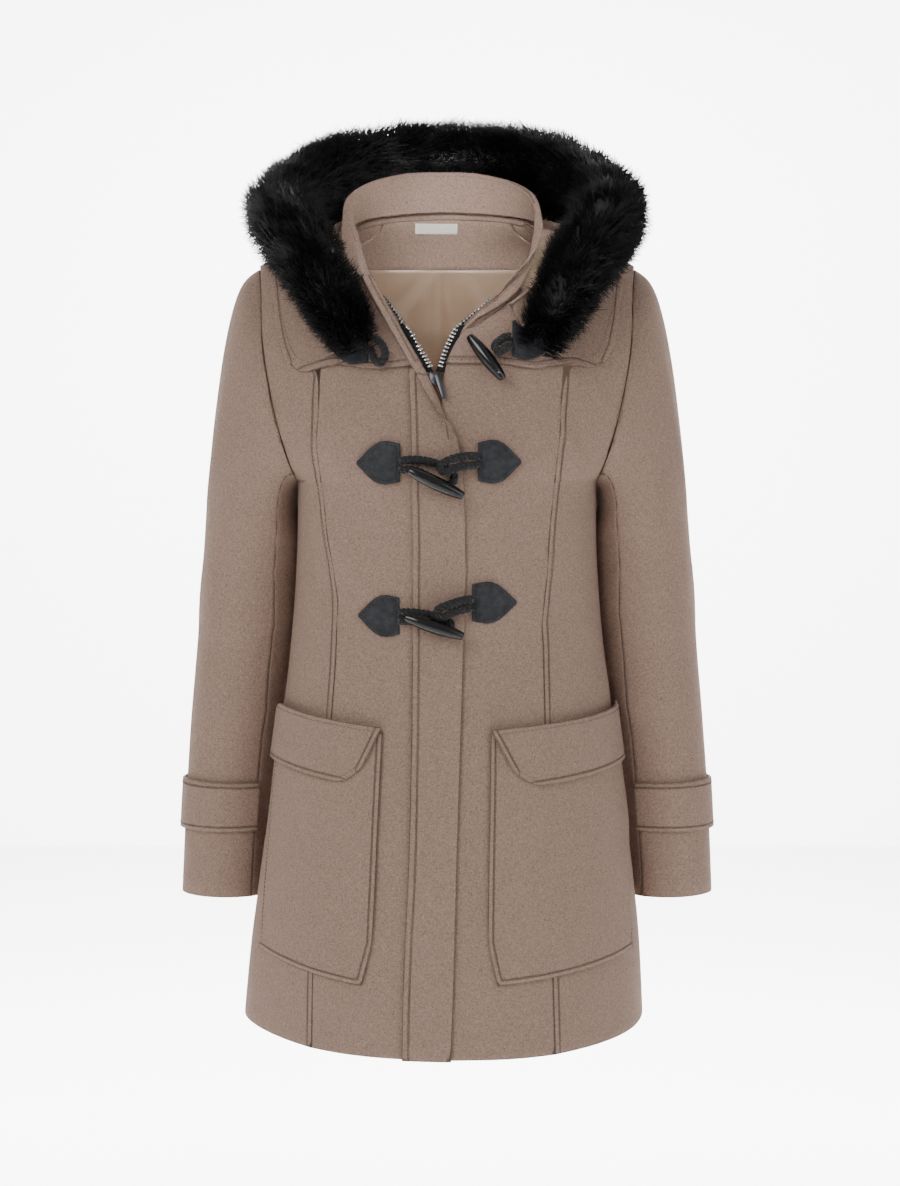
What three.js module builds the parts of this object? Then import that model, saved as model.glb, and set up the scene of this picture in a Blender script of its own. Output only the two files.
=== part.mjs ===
// Duffle coat with a fur-trimmed hood, filled out as when worn, with no wearer in it.
// Millimetres, +Z up, the front faces -Y and +X points to the viewer's right.
// The origin lies midway between the shoulder tips, at their height.

import * as THREE from 'three';

// Cloth, gaps and layers
const CLOTH = 2.0;
const SATIN = 1.0;
const SEAM_GAP = 0.3;
const LAYER_GAP = 0.9;
const COLLAR_WALL = 5.0;
const PAD_WALL = 2.2;
const LABEL_WALL = 0.5;
const TAPE_WALL = 0.8;
const CUFF_GAP = 1.2;
const CUFF_WALL = 3.4;

// Length and hem of the body
const HEM = -744;
const HEM_DIP = 16;
const FLARE_TOP = -430;
const FLARE_WAVE = 3.2;
const FLARE_RIPPLE = 1.6;
const UNDERARM = -214;
const YOKE_SEAM = -107;
const SHOULDER_NECK = 38;

// Horizontal sections of the filled coat: half width, depth before and behind, squareness
const SECTIONS = [
  { z: -770, halfWidth: 201, front: 158, back: 149, square: 2.15 },
  { z: -744, halfWidth: 199, front: 155, back: 146, square: 2.15 },
  { z: -680, halfWidth: 194, front: 150, back: 140, square: 2.15 },
  { z: -634, halfWidth: 189, front: 146, back: 135, square: 2.2 },
  { z: -545, halfWidth: 175, front: 137, back: 125, square: 2.25 },
  { z: -437, halfWidth: 161, front: 126, back: 111, square: 2.3 },
  { z: -400, halfWidth: 157, front: 122, back: 106, square: 2.3 },
  { z: -340, halfWidth: 151, front: 116, back: 98, square: 2.3 },
  { z: -276, halfWidth: 147, front: 119, back: 96, square: 2.35 },
  { z: -240, halfWidth: 146.5, front: 124, back: 100, square: 2.4 },
  { z: -214, halfWidth: 148.5, front: 126, back: 105, square: 2.4 },
  { z: -206, halfWidth: 160, front: 126.5, back: 106, square: 2.4 },
  { z: -183, halfWidth: 181, front: 126, back: 108, square: 2.4 },
  { z: -148, halfWidth: 196, front: 121, back: 110, square: 2.4 },
  { z: -107, halfWidth: 203, front: 112, back: 110, square: 2.4 },
  { z: -75, halfWidth: 203, front: 101, back: 108, square: 2.4 },
  { z: -38, halfWidth: 200, front: 82, back: 102, square: 2.35 },
  { z: -8, halfWidth: 192, front: 58, back: 94, square: 2.3 },
  { z: 0, halfWidth: 186, front: 50, back: 91, square: 2.25 },
  { z: 18, halfWidth: 144, front: 32, back: 85, square: 2.2 },
  { z: 38, halfWidth: 88, front: 8, back: 74, square: 2.2 },
  { z: 50, halfWidth: 84, front: 6, back: 68, square: 2.2 },
  { z: 62, halfWidth: 80, front: 4, back: 62, square: 2.2 },
];

// Armhole edge: height, and how far round from the centre front or back (1 is the side)
const ARMHOLE = [
  { z: 0, turn: 1 },
  { z: -8, turn: 0.805 },
  { z: -31, turn: 0.71 },
  { z: -62, turn: 0.673 },
  { z: -84, turn: 0.656 },
  { z: -107, turn: 0.631 },
  { z: -148, turn: 0.618 },
  { z: -183, turn: 0.639 },
  { z: -206, turn: 0.743 },
  { z: -212, turn: 0.87 },
  { z: -214, turn: 1 },
];

// Seam and edge lines on the front, as distances from the centre at each height
const FRONT_LINES = [
  { z: -770, princessLeft: -132, placketLeft: -43, zip: -19, fold: -10, princessRight: 102 },
  { z: -672, princessLeft: -130, placketLeft: -41, zip: -17, fold: -6, princessRight: 100 },
  { z: -560, princessLeft: -121, placketLeft: -35, zip: -13, fold: -3, princessRight: 97 },
  { z: -437, princessLeft: -111, placketLeft: -33, zip: -10, fold: 1, princessRight: 94 },
  { z: -335, princessLeft: -105, placketLeft: -32, zip: -9, fold: 4, princessRight: 92 },
  { z: -278, princessLeft: -111, placketLeft: -32, zip: -9, fold: 5, princessRight: 97 },
  { z: -215, princessLeft: -121, placketLeft: -33, zip: -10, fold: 3, princessRight: 103 },
  { z: -164, princessLeft: -124, placketLeft: -34, zip: -11, fold: -1, princessRight: 107 },
  { z: -107, princessLeft: -121, placketLeft: -36, zip: -12, fold: -23, princessRight: 111 },
  { z: -84, princessLeft: -119, placketLeft: -37, zip: -12, fold: -36, princessRight: 112 },
];

// Edges of the open front above the slider, then of the neck seam, at each height
const OPENING = [
  { z: -120, left: -18, right: -6 },
  { z: -108, left: -20, right: -4 },
  { z: -94, left: -28, right: 2 },
  { z: -84, left: -34, right: 6 },
  { z: -74, left: -39, right: 10 },
  { z: -66, left: -44, right: 15 },
  { z: -54, left: -53, right: 38 },
  { z: -38, left: -63, right: 61 },
  { z: -8, left: -76, right: 76 },
  { z: 18, left: -84, right: 84 },
  { z: 38, left: -88, right: 88 },
];

// Free side edge of the cape yoke, and the hidden edge of the side front beneath it
const CAPE_SIDE = [
  { z: -84, edge: 160, beneath: 140 },
  { z: -62, edge: 165, beneath: 150 },
  { z: -31, edge: 169, beneath: 155 },
  { z: -8, edge: 172, beneath: 164 },
  { z: 0, edge: 174, beneath: 166 },
  { z: 6, edge: 171, beneath: 165 },
];
const CAPE_CORNER_X = 137;
const CAPE_CORNER_MID_X = 154;
const CAPE_SHOULDER = 6;

// Lower free edge of the cape yoke, from the opening (0) out to the corner (1)
const CAPE_HEM = {
  left: [
    { along: 0, z: -102.5 },
    { along: 0.45, z: -107 },
    { along: 0.7, z: -101.5 },
    { along: 1, z: -110 },
  ],
  right: [
    { along: 0, z: -101.5 },
    { along: 0.4, z: -101.5 },
    { along: 0.6, z: -107 },
    { along: 0.85, z: -101 },
    { along: 1, z: -106 },
  ],
};

// Neck seam behind: height from the centre back (0) to the shoulder seam (1)
const BACK_NECK = [
  { along: 0, z: 58 },
  { along: 0.29, z: 56 },
  { along: 0.64, z: 50 },
  { along: 1, z: 38 },
];

// Princess seams of the back, as distances from the centre
const BACK_LINES = [
  { z: -770, princess: 112 },
  { z: -560, princess: 100 },
  { z: -320, princess: 84 },
  { z: -183, princess: 95 },
  { z: -107, princess: 104 },
];

// Stand collar: foot on the neck seam and top edge, from the left front round to the right front
const COLLAR = [
  { footX: -44, footZ: -66, behind: 0, topX: -64, topY: -90, topZ: -33 },
  { footX: -63, footZ: -38, behind: 0, topX: -90, topY: -64, topZ: -4 },
  { footX: -76, footZ: -8, behind: 0, topX: -99, topY: -32, topZ: 24 },
  { footX: -84, footZ: 18, behind: 0, topX: -99, topY: 0, topZ: 47 },
  { footX: -88, footZ: 38, behind: 0, topX: -97, topY: 30, topZ: 71 },
  { footX: -72, footZ: 50, behind: 1, topX: -74, topY: 58, topZ: 91 },
  { footX: -38, footZ: 56, behind: 1, topX: -40, topY: 73, topZ: 101 },
  { footX: 0, footZ: 58, behind: 1, topX: -6, topY: 76, topZ: 102 },
  { footX: 38, footZ: 56, behind: 1, topX: 28, topY: 73, topZ: 101 },
  { footX: 72, footZ: 50, behind: 1, topX: 60, topY: 58, topZ: 92 },
  { footX: 88, footZ: 38, behind: 0, topX: 83, topY: 30, topZ: 75 },
  { footX: 84, footZ: 18, behind: 0, topX: 89, topY: 0, topZ: 52 },
  { footX: 76, footZ: -8, behind: 0, topX: 89, topY: -32, topZ: 28 },
  { footX: 61, footZ: -38, behind: 0, topX: 76, topY: -64, topZ: 0 },
  { footX: 15, footZ: -66, behind: 0, topX: 48, topY: -90, topZ: -33 },
];
const COLLAR_LIFT = 4.4;

// Sleeve rings: outer and inner points seen from the front, depth centre and half depth
const SLEEVE = [
  { ring: 0, outX: 188, outZ: 0, inX: 149, inZ: -214, y: 0, deep: 66 },
  { ring: 1, outX: 204, outZ: -11, inX: 152, inZ: -221, y: 2, deep: 70 },
  { ring: 2, outX: 215, outZ: -42, inX: 155, inZ: -231, y: 5, deep: 70 },
  { ring: 3, outX: 224, outZ: -84, inX: 157, inZ: -244, y: 9, deep: 68 },
  { ring: 4, outX: 231, outZ: -132, inX: 158, inZ: -262, y: 13, deep: 66 },
  { ring: 5, outX: 238, outZ: -186, inX: 158, inZ: -286, y: 18, deep: 63 },
  { ring: 6, outX: 243, outZ: -242, inX: 159, inZ: -316, y: 24, deep: 60 },
  { ring: 7, outX: 248, outZ: -302, inX: 162, inZ: -352, y: 29, deep: 57 },
  { ring: 8, outX: 252, outZ: -357, inX: 166, inZ: -391, y: 33, deep: 55 },
  { ring: 9, outX: 257, outZ: -412, inX: 171, inZ: -432, y: 35, deep: 53 },
  { ring: 10, outX: 262, outZ: -466, inX: 177, inZ: -475, y: 36, deep: 51 },
  { ring: 11, outX: 266, outZ: -520, inX: 183, inZ: -522, y: 36, deep: 49 },
  { ring: 12, outX: 269, outZ: -574, inX: 188, inZ: -575, y: 36, deep: 47 },
  { ring: 13, outX: 271, outZ: -629, inX: 191, inZ: -632, y: 36, deep: 46 },
];
const SLEEVE_HALF_COLUMNS = 10;
const SLEEVE_SEAM_COLUMN = 8;
const SEAM_ANGLE_TOP = 128;
const SEAM_ANGLE_HEM = 140;
const SLEEVE_SHAPE_RINGS = 5;
const ARMHOLE_GAP = 0.5;
const SHOULDER_GAP = 0.9;
const CUFF_RINGS = [10.87, 11.3, 11.8];

// Pockets and flaps on the front: corners as distance from the centre and height
const POCKETS = {
  left: { inTop: -61, inLow: -72, outTop: -160, outLow: -182, top: -452, lowIn: -682, lowOut: -668 },
  right: { inTop: 41, inLow: 38, outTop: 168, outLow: 181, top: -452, lowIn: -680, lowOut: -668 },
};
const FLAPS = {
  left: { inTop: -61, inLow: -86, outTop: -157, outLow: -174, topIn: -447, topOut: -431, drop: 53 },
  right: { inTop: 41, inLow: 70, outTop: 162, outLow: 179, topIn: -449, topOut: -433, drop: 54 },
};
const FLAP_WALL = 3.0;

// Leather pads: flat end, tip, height of the middle and half height, and what they lie on
const PADS = {
  pad_upper_left: { flat: -74, tip: -114, z: -83, half: 21, on: 2.9 },
  pad_upper_right: { flat: 62, tip: 103, z: -79, half: 21, on: 2.9 },
  pad_middle_left: { flat: -44, tip: -85, z: -195, half: 22, on: 0 },
  pad_middle_right: { flat: 29.5, tip: 70, z: -194, half: 22, on: 0 },
  pad_lower_left: { flat: -45, tip: -84, z: -341, half: 21.5, on: 0 },
  pad_lower_right: { flat: 24, tip: 66, z: -328, half: 21.5, on: 0 },
};

// Toggles: both ends on the front, and how far the axis stands off the cloth
const TOGGLES = {
  toggle_upper: { x0: 21, z0: -80, x1: 52, z1: -119, stand: 14 },
  toggle_middle: { x0: -34, z0: -202, x1: 15, z1: -225, stand: 19.5 },
  toggle_lower: { x0: -37, z0: -341, x1: 15, z1: -361, stand: 19.5 },
};
const TOGGLE_RADIUS = 7;
const TOGGLE_END_RADIUS = 4.2;
const CORD_RADIUS = 3.4;
const CORD_SIDES = 8;

// Cords by hand-picked points: distance from the centre, height, and stand off the cloth
const CORDS = {
  loop_upper: [
    [-71, -79, 8], [-66, -82, 12], [-60, -88, 14], [-57, -96, 14],
    [-60, -103, 13], [-66, -102, 12], [-69, -96, 10], [-71, -90, 8],
  ],
  loop_middle: [
    [-43, -193, 8], [-30, -192, 8], [-16, -194, 8], [-4, -198, 8], [4, -203, 8], [7, -209, 8],
    [3, -215, 8], [-6, -214, 8], [-18, -207, 8], [-30, -202, 8], [-43, -201, 8],
  ],
  loop_lower: [
    [-44, -337, 8], [-30, -337, 8], [-16, -339, 8], [-6, -342, 8], [2, -346, 8], [4, -352, 8],
    [0, -357, 8], [-10, -355, 8], [-22, -349, 8], [-32, -346, 8], [-44, -345, 8],
  ],
  tie_upper: [
    [59, -78, 8], [54, -80, 11], [48, -85, 13], [44.5, -89, 14.5],
    [48.5, -95, 14.5], [53, -92, 13], [57, -88, 11], [59, -87, 8],
  ],
  tie_middle: [
    [28.5, -189, 8], [20, -189, 11], [8, -191, 15.5], [-2, -195, 17], [-6.5, -201, 17],
    [0, -203.5, 17], [8, -200, 15.5], [20, -198, 11], [28.5, -197, 8],
  ],
  tie_lower: [
    [23, -324, 8], [15, -325, 11], [4, -328, 15.5], [-6, -332, 17], [-10, -338, 17],
    [-3.5, -341, 17], [4, -337, 15.5], [15, -334, 11], [23, -332, 8],
  ],
};
const CORD_STEPS = 16;

// Fur roll: centre line and radius, from the right front end to the centre back
const FUR = [
  { x: 95, y: -117, z: -66, radius: 26 },
  { x: 105, y: -119, z: -48, radius: 31 },
  { x: 117, y: -110, z: -24, radius: 36 },
  { x: 134, y: -86, z: 4, radius: 37.5 },
  { x: 151, y: -55, z: 29, radius: 37.5 },
  { x: 161, y: -18, z: 51, radius: 38 },
  { x: 158, y: 24, z: 69, radius: 39 },
  { x: 137, y: 66, z: 87, radius: 40 },
  { x: 104, y: 99, z: 106, radius: 40 },
  { x: 54, y: 118, z: 118, radius: 40 },
  { x: 0, y: 124, z: 121, radius: 40 },
];
const FUR_SIDES = 14;
const FUR_RINGS_HALF = 18;
const FUR_ROUGHNESS = 2.2;
const FUR_CLEARANCE = 8.5;

// Hood: how far it falls behind at each collar column, from the centre back to the front
const HOOD_COLUMNS = 22;
const HOOD_ROWS = 5;
const HOOD_FRONT = 0.9;
const HOOD_FALL = [
  { along: 0, fall: 1 },
  { along: 0.14, fall: 0.93 },
  { along: 0.29, fall: 0.62 },
  { along: 0.43, fall: 0.2 },
  { along: 0.57, fall: 0.03 },
  { along: 1, fall: 0 },
];

// Zip: tape past the cloth edge, chain below the slider, slider and pull tab
const TAPE_SHOWN = 7;
const TAPE_BENEATH = 5;
const CHAIN_HALF = 11;
const CHAIN_TOP = -123;
const CHAIN_END = -600;
const SLIDER = { x: -12, z: -115, wide: 10, high: 13, deep: 6.4, stand: 0.2 };
const TAB = { x: -9.5, z: -112.5, long: 25, wide: 5.4, thick: 1.6, stand: 5.4, tilt: 18 };

// Colours, roughness and metalness
const FINISHES = {
  wool: { color: 0x9b8578, roughness: 0.95, metalness: 0 },
  satin: { color: 0xac8f76, roughness: 0.5, metalness: 0 },
  fur: { color: 0x0d0d0e, roughness: 0.9, metalness: 0 },
  leather: { color: 0x34363a, roughness: 0.6, metalness: 0 },
  cord: { color: 0x141415, roughness: 0.7, metalness: 0 },
  horn: { color: 0x1b1b1d, roughness: 0.2, metalness: 0 },
  tape: { color: 0x1a1a1c, roughness: 0.8, metalness: 0 },
  metal: { color: 0xc8c8ca, roughness: 0.3, metalness: 1 },
  label: { color: 0xe8e4dc, roughness: 0.8, metalness: 0 },
};

const UP = new THREE.Vector3(0, 0, 1);
const coat = new THREE.Group();

// Add one named piece to the coat
function addPiece(name, geometry, finish) {
  geometry.computeVertexNormals();
  const mesh = new THREE.Mesh(geometry, new THREE.MeshStandardMaterial(FINISHES[finish]));
  mesh.name = name;
  coat.add(mesh);
  return mesh;
}

// Slope of a table's column at row k, limited so that the curve never overshoots
function slopeAtRow(table, key, column, k) {
  const secant = (a) => (table[a + 1][column] - table[a][column]) / (table[a + 1][key] - table[a][key]);
  if (k === 0) return secant(0);
  if (k === table.length - 1) return secant(k - 1);
  const before = secant(k - 1);
  const after = secant(k);
  if (before * after <= 0) return 0;
  return (2 * before * after) / (before + after);
}

// Smooth value of one column of a table, whose rows rise in the key column
function fromTable(table, key, column, at) {
  const last = table.length - 1;
  const value = Math.min(Math.max(at, table[0][key]), table[last][key]);
  let i = 0;
  while (i < last - 1 && value > table[i + 1][key]) i += 1;
  const step = table[i + 1][key] - table[i][key];
  const t = (value - table[i][key]) / step;
  const rise0 = slopeAtRow(table, key, column, i) * step;
  const rise1 = slopeAtRow(table, key, column, i + 1) * step;
  const t2 = t * t;
  const t3 = t2 * t;
  const start = table[i][column] * (2 * t3 - 3 * t2 + 1) + rise0 * (t3 - 2 * t2 + t);
  return start + table[i + 1][column] * (3 * t2 - 2 * t3) + rise1 * (t3 - t2);
}

const section = (column, z) => fromTable(SECTIONS, 'z', column, z);
const mix = (a, b, t) => a + (b - a) * t;

// A point on the coat's outer surface; turn runs 0 front, 1 right side, 2 back, -1 left side
function surfacePoint(turn, z) {
  let t = turn;
  if (t > 2) t -= 4;
  if (t <= -2) t += 4;
  const inFront = Math.abs(t) <= 1;
  const fromMiddle = inFront ? Math.abs(t) : 2 - Math.abs(t);
  const angle = (fromMiddle * Math.PI) / 2;
  const power = 2 / section('square', z);
  const depth = inFront ? -section('front', z) : section('back', z);
  const width = section('halfWidth', z);
  const low = Math.min(Math.max((FLARE_TOP - z) / (FLARE_TOP - HEM), 0), 1);
  const wave = FLARE_WAVE * Math.sin(1.5 * Math.PI * t + 0.6);
  const ripple = FLARE_RIPPLE * Math.sin(3.5 * Math.PI * t - 1);
  const flare = 1 + (low * low * (wave + ripple)) / width;
  const x = Math.sign(t) * width * Math.sin(angle) ** power * flare;
  const y = depth * Math.max(Math.cos(angle), 0) ** power * flare;
  const dip = inFront ? HEM_DIP * Math.cos(angle) * low * low : 0;
  return new THREE.Vector3(x, y, z - dip);
}

// Outward direction of the coat's surface
function surfaceNormal(turn, z) {
  const around = surfacePoint(turn + 0.004, z).sub(surfacePoint(turn - 0.004, z));
  const along = surfacePoint(turn, z + 0.5).sub(surfacePoint(turn, z - 0.5));
  return around.cross(along).normalize();
}

// A point moved out of the coat's surface, or in where out is negative
function bodyPoint(turn, z, out) {
  return surfacePoint(turn, z).addScaledVector(surfaceNormal(turn, z), out);
}

// How far round the front a distance from the centre lies
function frontTurn(x, z) {
  const ratio = Math.min(Math.abs(x) / section('halfWidth', z), 1);
  const angle = Math.asin(ratio ** (section('square', z) / 2));
  return (Math.sign(x) * angle * 2) / Math.PI;
}

// The same behind
function backTurn(x, z) {
  const side = x < 0 ? -1 : 1;
  return side * (2 - Math.abs(frontTurn(x, z)));
}

const frontPoint = (x, z, out) => bodyPoint(frontTurn(x, z), z, out);
const frontLine = (column, z) => fromTable(FRONT_LINES, 'z', column, z);
const openingEdge = (side, z) => fromTable(OPENING, 'z', side, z);

// A closed solid from an outer and an inner grid of points with the same rows and columns
function wall(outer, inner) {
  const rows = outer.length;
  const columns = outer[0].length;
  const positions = [];
  const push = (p) => positions.push(p.x, p.y, p.z);
  outer.forEach((line) => line.forEach(push));
  inner.forEach((line) => line.forEach(push));
  const out = (j, i) => j * columns + i;
  const back = (j, i) => rows * columns + j * columns + i;
  const faces = [];
  const quad = (a, b, c, d) => faces.push(a, b, c, a, c, d);
  for (let j = 0; j < rows - 1; j += 1) {
    for (let i = 0; i < columns - 1; i += 1) {
      quad(out(j, i), out(j, i + 1), out(j + 1, i + 1), out(j + 1, i));
      faces.push(back(j, i), back(j + 1, i + 1), back(j, i + 1));
      faces.push(back(j, i), back(j + 1, i), back(j + 1, i + 1));
    }
  }
  for (let i = 0; i < columns - 1; i += 1) {
    quad(out(0, i + 1), out(0, i), back(0, i), back(0, i + 1));
    quad(out(rows - 1, i), out(rows - 1, i + 1), back(rows - 1, i + 1), back(rows - 1, i));
  }
  for (let j = 0; j < rows - 1; j += 1) {
    quad(out(j, 0), out(j + 1, 0), back(j + 1, 0), back(j, 0));
    quad(out(j + 1, columns - 1), out(j, columns - 1), back(j, columns - 1), back(j + 1, columns - 1));
  }
  return closedGeometry(positions, faces);
}

// Geometry from positions and faces, turned so that the faces point out
function closedGeometry(positions, faces) {
  const at = (k) => new THREE.Vector3(positions[3 * k], positions[3 * k + 1], positions[3 * k + 2]);
  let volume = 0;
  for (let f = 0; f < faces.length; f += 3) {
    volume += at(faces[f]).dot(at(faces[f + 1]).cross(at(faces[f + 2])));
  }
  const turned = volume < 0 ? faces.slice().reverse() : faces;
  const geometry = new THREE.BufferGeometry();
  geometry.setAttribute('position', new THREE.Float32BufferAttribute(positions, 3));
  geometry.setIndex(turned);
  return geometry;
}

// Draw the first and last point of a line in by half a seam gap
function pulledIn(line) {
  const last = line.length - 1;
  const first = line[1].clone().sub(line[0]).setLength(SEAM_GAP / 2).add(line[0]);
  const end = line[last - 1].clone().sub(line[last]).setLength(SEAM_GAP / 2).add(line[last]);
  return [first, ...line.slice(1, last), end];
}

// A grid of points between two edges, one line of points for each height
function bodyGrid(rows, leftEdge, rightEdge, columns, out) {
  return rows.map((z) => {
    const left = leftEdge(z);
    const right = rightEdge(z);
    const line = [];
    for (let i = 0; i <= columns; i += 1) {
      line.push(bodyPoint(mix(left, right, i / columns), z, out));
    }
    return pulledIn(line);
  });
}

function addPanel(name, rows, leftEdge, rightEdge, columns) {
  const outer = bodyGrid(rows, leftEdge, rightEdge, columns, 0);
  const inner = bodyGrid(rows, leftEdge, rightEdge, columns, -CLOTH);
  addPiece(name, wall(outer, inner), 'wool');
}

// Rows shared by all body panels, so that seams meet point by point
const LOW_ROWS = [HEM, -695, -645, -595, -545, -495, -445, -395, -345, -295, -252, UNDERARM];
const ARM_ROWS = [-212, -206, -183, -148, YOKE_SEAM];
const BODY_ROWS = [...LOW_ROWS, ...ARM_ROWS];
const PANEL_COLUMNS = 4;
const SIDE_COLUMNS = 6;

// How far round the side edge of a panel lies: the side seam, then the armhole
function sideEdge(z) {
  if (z <= UNDERARM || z >= 0) return 1;
  return fromTable(ARMHOLE.slice().reverse(), 'z', 'turn', z);
}

function addFronts() {
  const centreRows = [...BODY_ROWS, -84];
  const sideRows = [...BODY_ROWS, -84, -62, -31, -8, 0, CAPE_SHOULDER - 0.5];
  const zipEdge = (z, side) => {
    if (z > -108) return frontTurn(openingEdge(side < 0 ? 'left' : 'right', z), z);
    return frontTurn(frontLine('zip', z) + side * 6, z);
  };
  const beneathCape = (z) => fromTable(CAPE_SIDE, 'z', 'beneath', z);
  const innerLeft = (z) => frontTurn(z > -100 ? -beneathCape(z) : frontLine('princessLeft', z), z);
  const innerRight = (z) => frontTurn(z > -100 ? beneathCape(z) : frontLine('princessRight', z), z);
  const princessLeft = (z) => frontTurn(frontLine('princessLeft', z), z);
  const princessRight = (z) => frontTurn(frontLine('princessRight', z), z);
  addPanel('front_centre_left', centreRows, princessLeft, (z) => zipEdge(z, -1), PANEL_COLUMNS);
  addPanel('front_centre_right', centreRows, (z) => zipEdge(z, 1), princessRight, PANEL_COLUMNS);
  addPanel('front_side_left', sideRows, (z) => -sideEdge(z), innerLeft, SIDE_COLUMNS);
  addPanel('front_side_right', sideRows, innerRight, sideEdge, SIDE_COLUMNS);
}

function addBacks() {
  const rows = [...BODY_ROWS.slice(0, -1), YOKE_SEAM - SEAM_GAP / 2];
  const princess = (z) => Math.abs(backTurn(fromTable(BACK_LINES, 'z', 'princess', z), z));
  const side = (z) => 2 - sideEdge(Math.round(z));
  addPanel('back_right', rows, princess, () => 2, PANEL_COLUMNS);
  addPanel('back_left', rows, () => -2, (z) => -princess(z), PANEL_COLUMNS);
  addPanel('back_side_right', rows, side, princess, PANEL_COLUMNS);
  addPanel('back_side_left', rows, (z) => -princess(z), (z) => -side(z), PANEL_COLUMNS);
}

// Back yoke: from the yoke seam up to the shoulder seams and the back neck
const YOKE_ROWS = [YOKE_SEAM, -84, -62, -31, -8, 0, 9, 18, 26, 32, SHOULDER_NECK];
const YOKE_COLUMNS = 20;

function backYokeGrid(out) {
  return YOKE_ROWS.map((rowZ) => {
    const edge = rowZ < 0 ? 2 - sideEdge(rowZ) : 1;
    const line = [];
    for (let i = 0; i <= YOKE_COLUMNS; i += 1) {
      const fromCentre = Math.abs((2 * i) / YOKE_COLUMNS - 1);
      const top = fromTable(BACK_NECK, 'along', 'z', fromCentre);
      const share = (rowZ - YOKE_SEAM) / (SHOULDER_NECK - YOKE_SEAM);
      const z = mix(YOKE_SEAM + SEAM_GAP / 2, top, share);
      const exactZ = fromCentre === 1 ? Math.max(rowZ, YOKE_SEAM + SEAM_GAP / 2) : z;
      line.push(bodyPoint(edge + ((4 - 2 * edge) * i) / YOKE_COLUMNS, exactZ, out));
    }
    return pulledIn(line);
  });
}

// Front yoke: a cape lying on the fronts, with a free lower edge and rounded corner
const CAPE_ROWS = [-62, -31, -8, 0, CAPE_SHOULDER, 16, 27, 36.5];
const CAPE_COLUMNS = 8;
const CAPE_EASE = [
  { z: -62, lift: 0 },
  { z: -31, lift: 0.6 },
  { z: -8, lift: 2.2 },
  { z: 16, lift: 2.2 },
  { z: 38, lift: 0.6 },
];

function capeGrid(side, out) {
  const sign = side === 'left' ? -1 : 1;
  const grid = [];
  const addRow = (shape) => {
    const line = [];
    for (let i = 0; i <= CAPE_COLUMNS; i += 1) line.push(shape(i / CAPE_COLUMNS));
    grid.push(pulledIn(line));
  };
  const lowRow = (share, outerX) => addRow((along) => {
    const z = mix(-84, fromTable(CAPE_HEM[side], 'along', 'z', along), share);
    const x = mix(openingEdge(side, z), sign * outerX, along);
    return frontPoint(x, z, out);
  });
  lowRow(1, CAPE_CORNER_X);
  lowRow(0.62, CAPE_CORNER_MID_X);
  lowRow(0, fromTable(CAPE_SIDE, 'z', 'edge', -84));
  CAPE_ROWS.forEach((z) => {
    const edge = fromTable(CAPE_SIDE, 'z', 'edge', z);
    const outerTurn = z >= CAPE_SHOULDER ? 0.99 : Math.abs(frontTurn(edge, z));
    const innerTurn = Math.abs(frontTurn(openingEdge(side, z), z));
    const innerSign = Math.sign(openingEdge(side, z)) * sign;
    const ease = fromTable(CAPE_EASE, 'z', 'lift', z);
    addRow((along) => bodyPoint(sign * mix(innerSign * innerTurn, outerTurn, along), z, out + ease * along));
  });
  return grid;
}

function addYokes() {
  addPiece('yoke_back', wall(backYokeGrid(0), backYokeGrid(-CLOTH)), 'wool');
  ['left', 'right'].forEach((side) => {
    const outer = capeGrid(side, LAYER_GAP + CLOTH);
    const inner = capeGrid(side, LAYER_GAP);
    addPiece(`yoke_front_${side}`, wall(outer, inner), 'wool');
  });
}

// Placket: a flap over the zip whose edge turns outward towards its top
const PLACKET_HALF_WALL = 1.0;
const PLACKET_ARC = 4;
const PLACKET_EDGE = 9;
const PLACKET_TURN = [
  { z: -200, degrees: 0, lift: 1.9 },
  { z: -180, degrees: 30, lift: 1.9 },
  { z: -160, degrees: 85, lift: 1.9 },
  { z: -143, degrees: 140, lift: 2.0 },
  { z: -125, degrees: 172, lift: 2.4 },
  { z: -107, degrees: 176, lift: 4.6 },
  { z: -86, degrees: 176, lift: 5.2 },
  { z: -66, degrees: 176, lift: 9.5 },
  { z: -47, degrees: 176, lift: 14 },
  { z: -30, degrees: 176, lift: 21 },
];
const PLACKET_FOLD_TOP = [
  { z: -107, x: -24 },
  { z: -86, x: -36 },
  { z: -68, x: -47 },
  { z: -47, x: -60 },
  { z: -30, x: -71 },
];
const PLACKET_ROWS = [
  HEM - 1, -695, -645, -595, -545, -495, -445, -395, -345, -295, -252, -214, -200,
  -186, -173, -160, -148, -136, -125, -115, -107.4, -105.6, -95, -84, -72, -60, -48, -38, -30,
];
const PLACKET_TOP_TUCK = 4;

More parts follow.
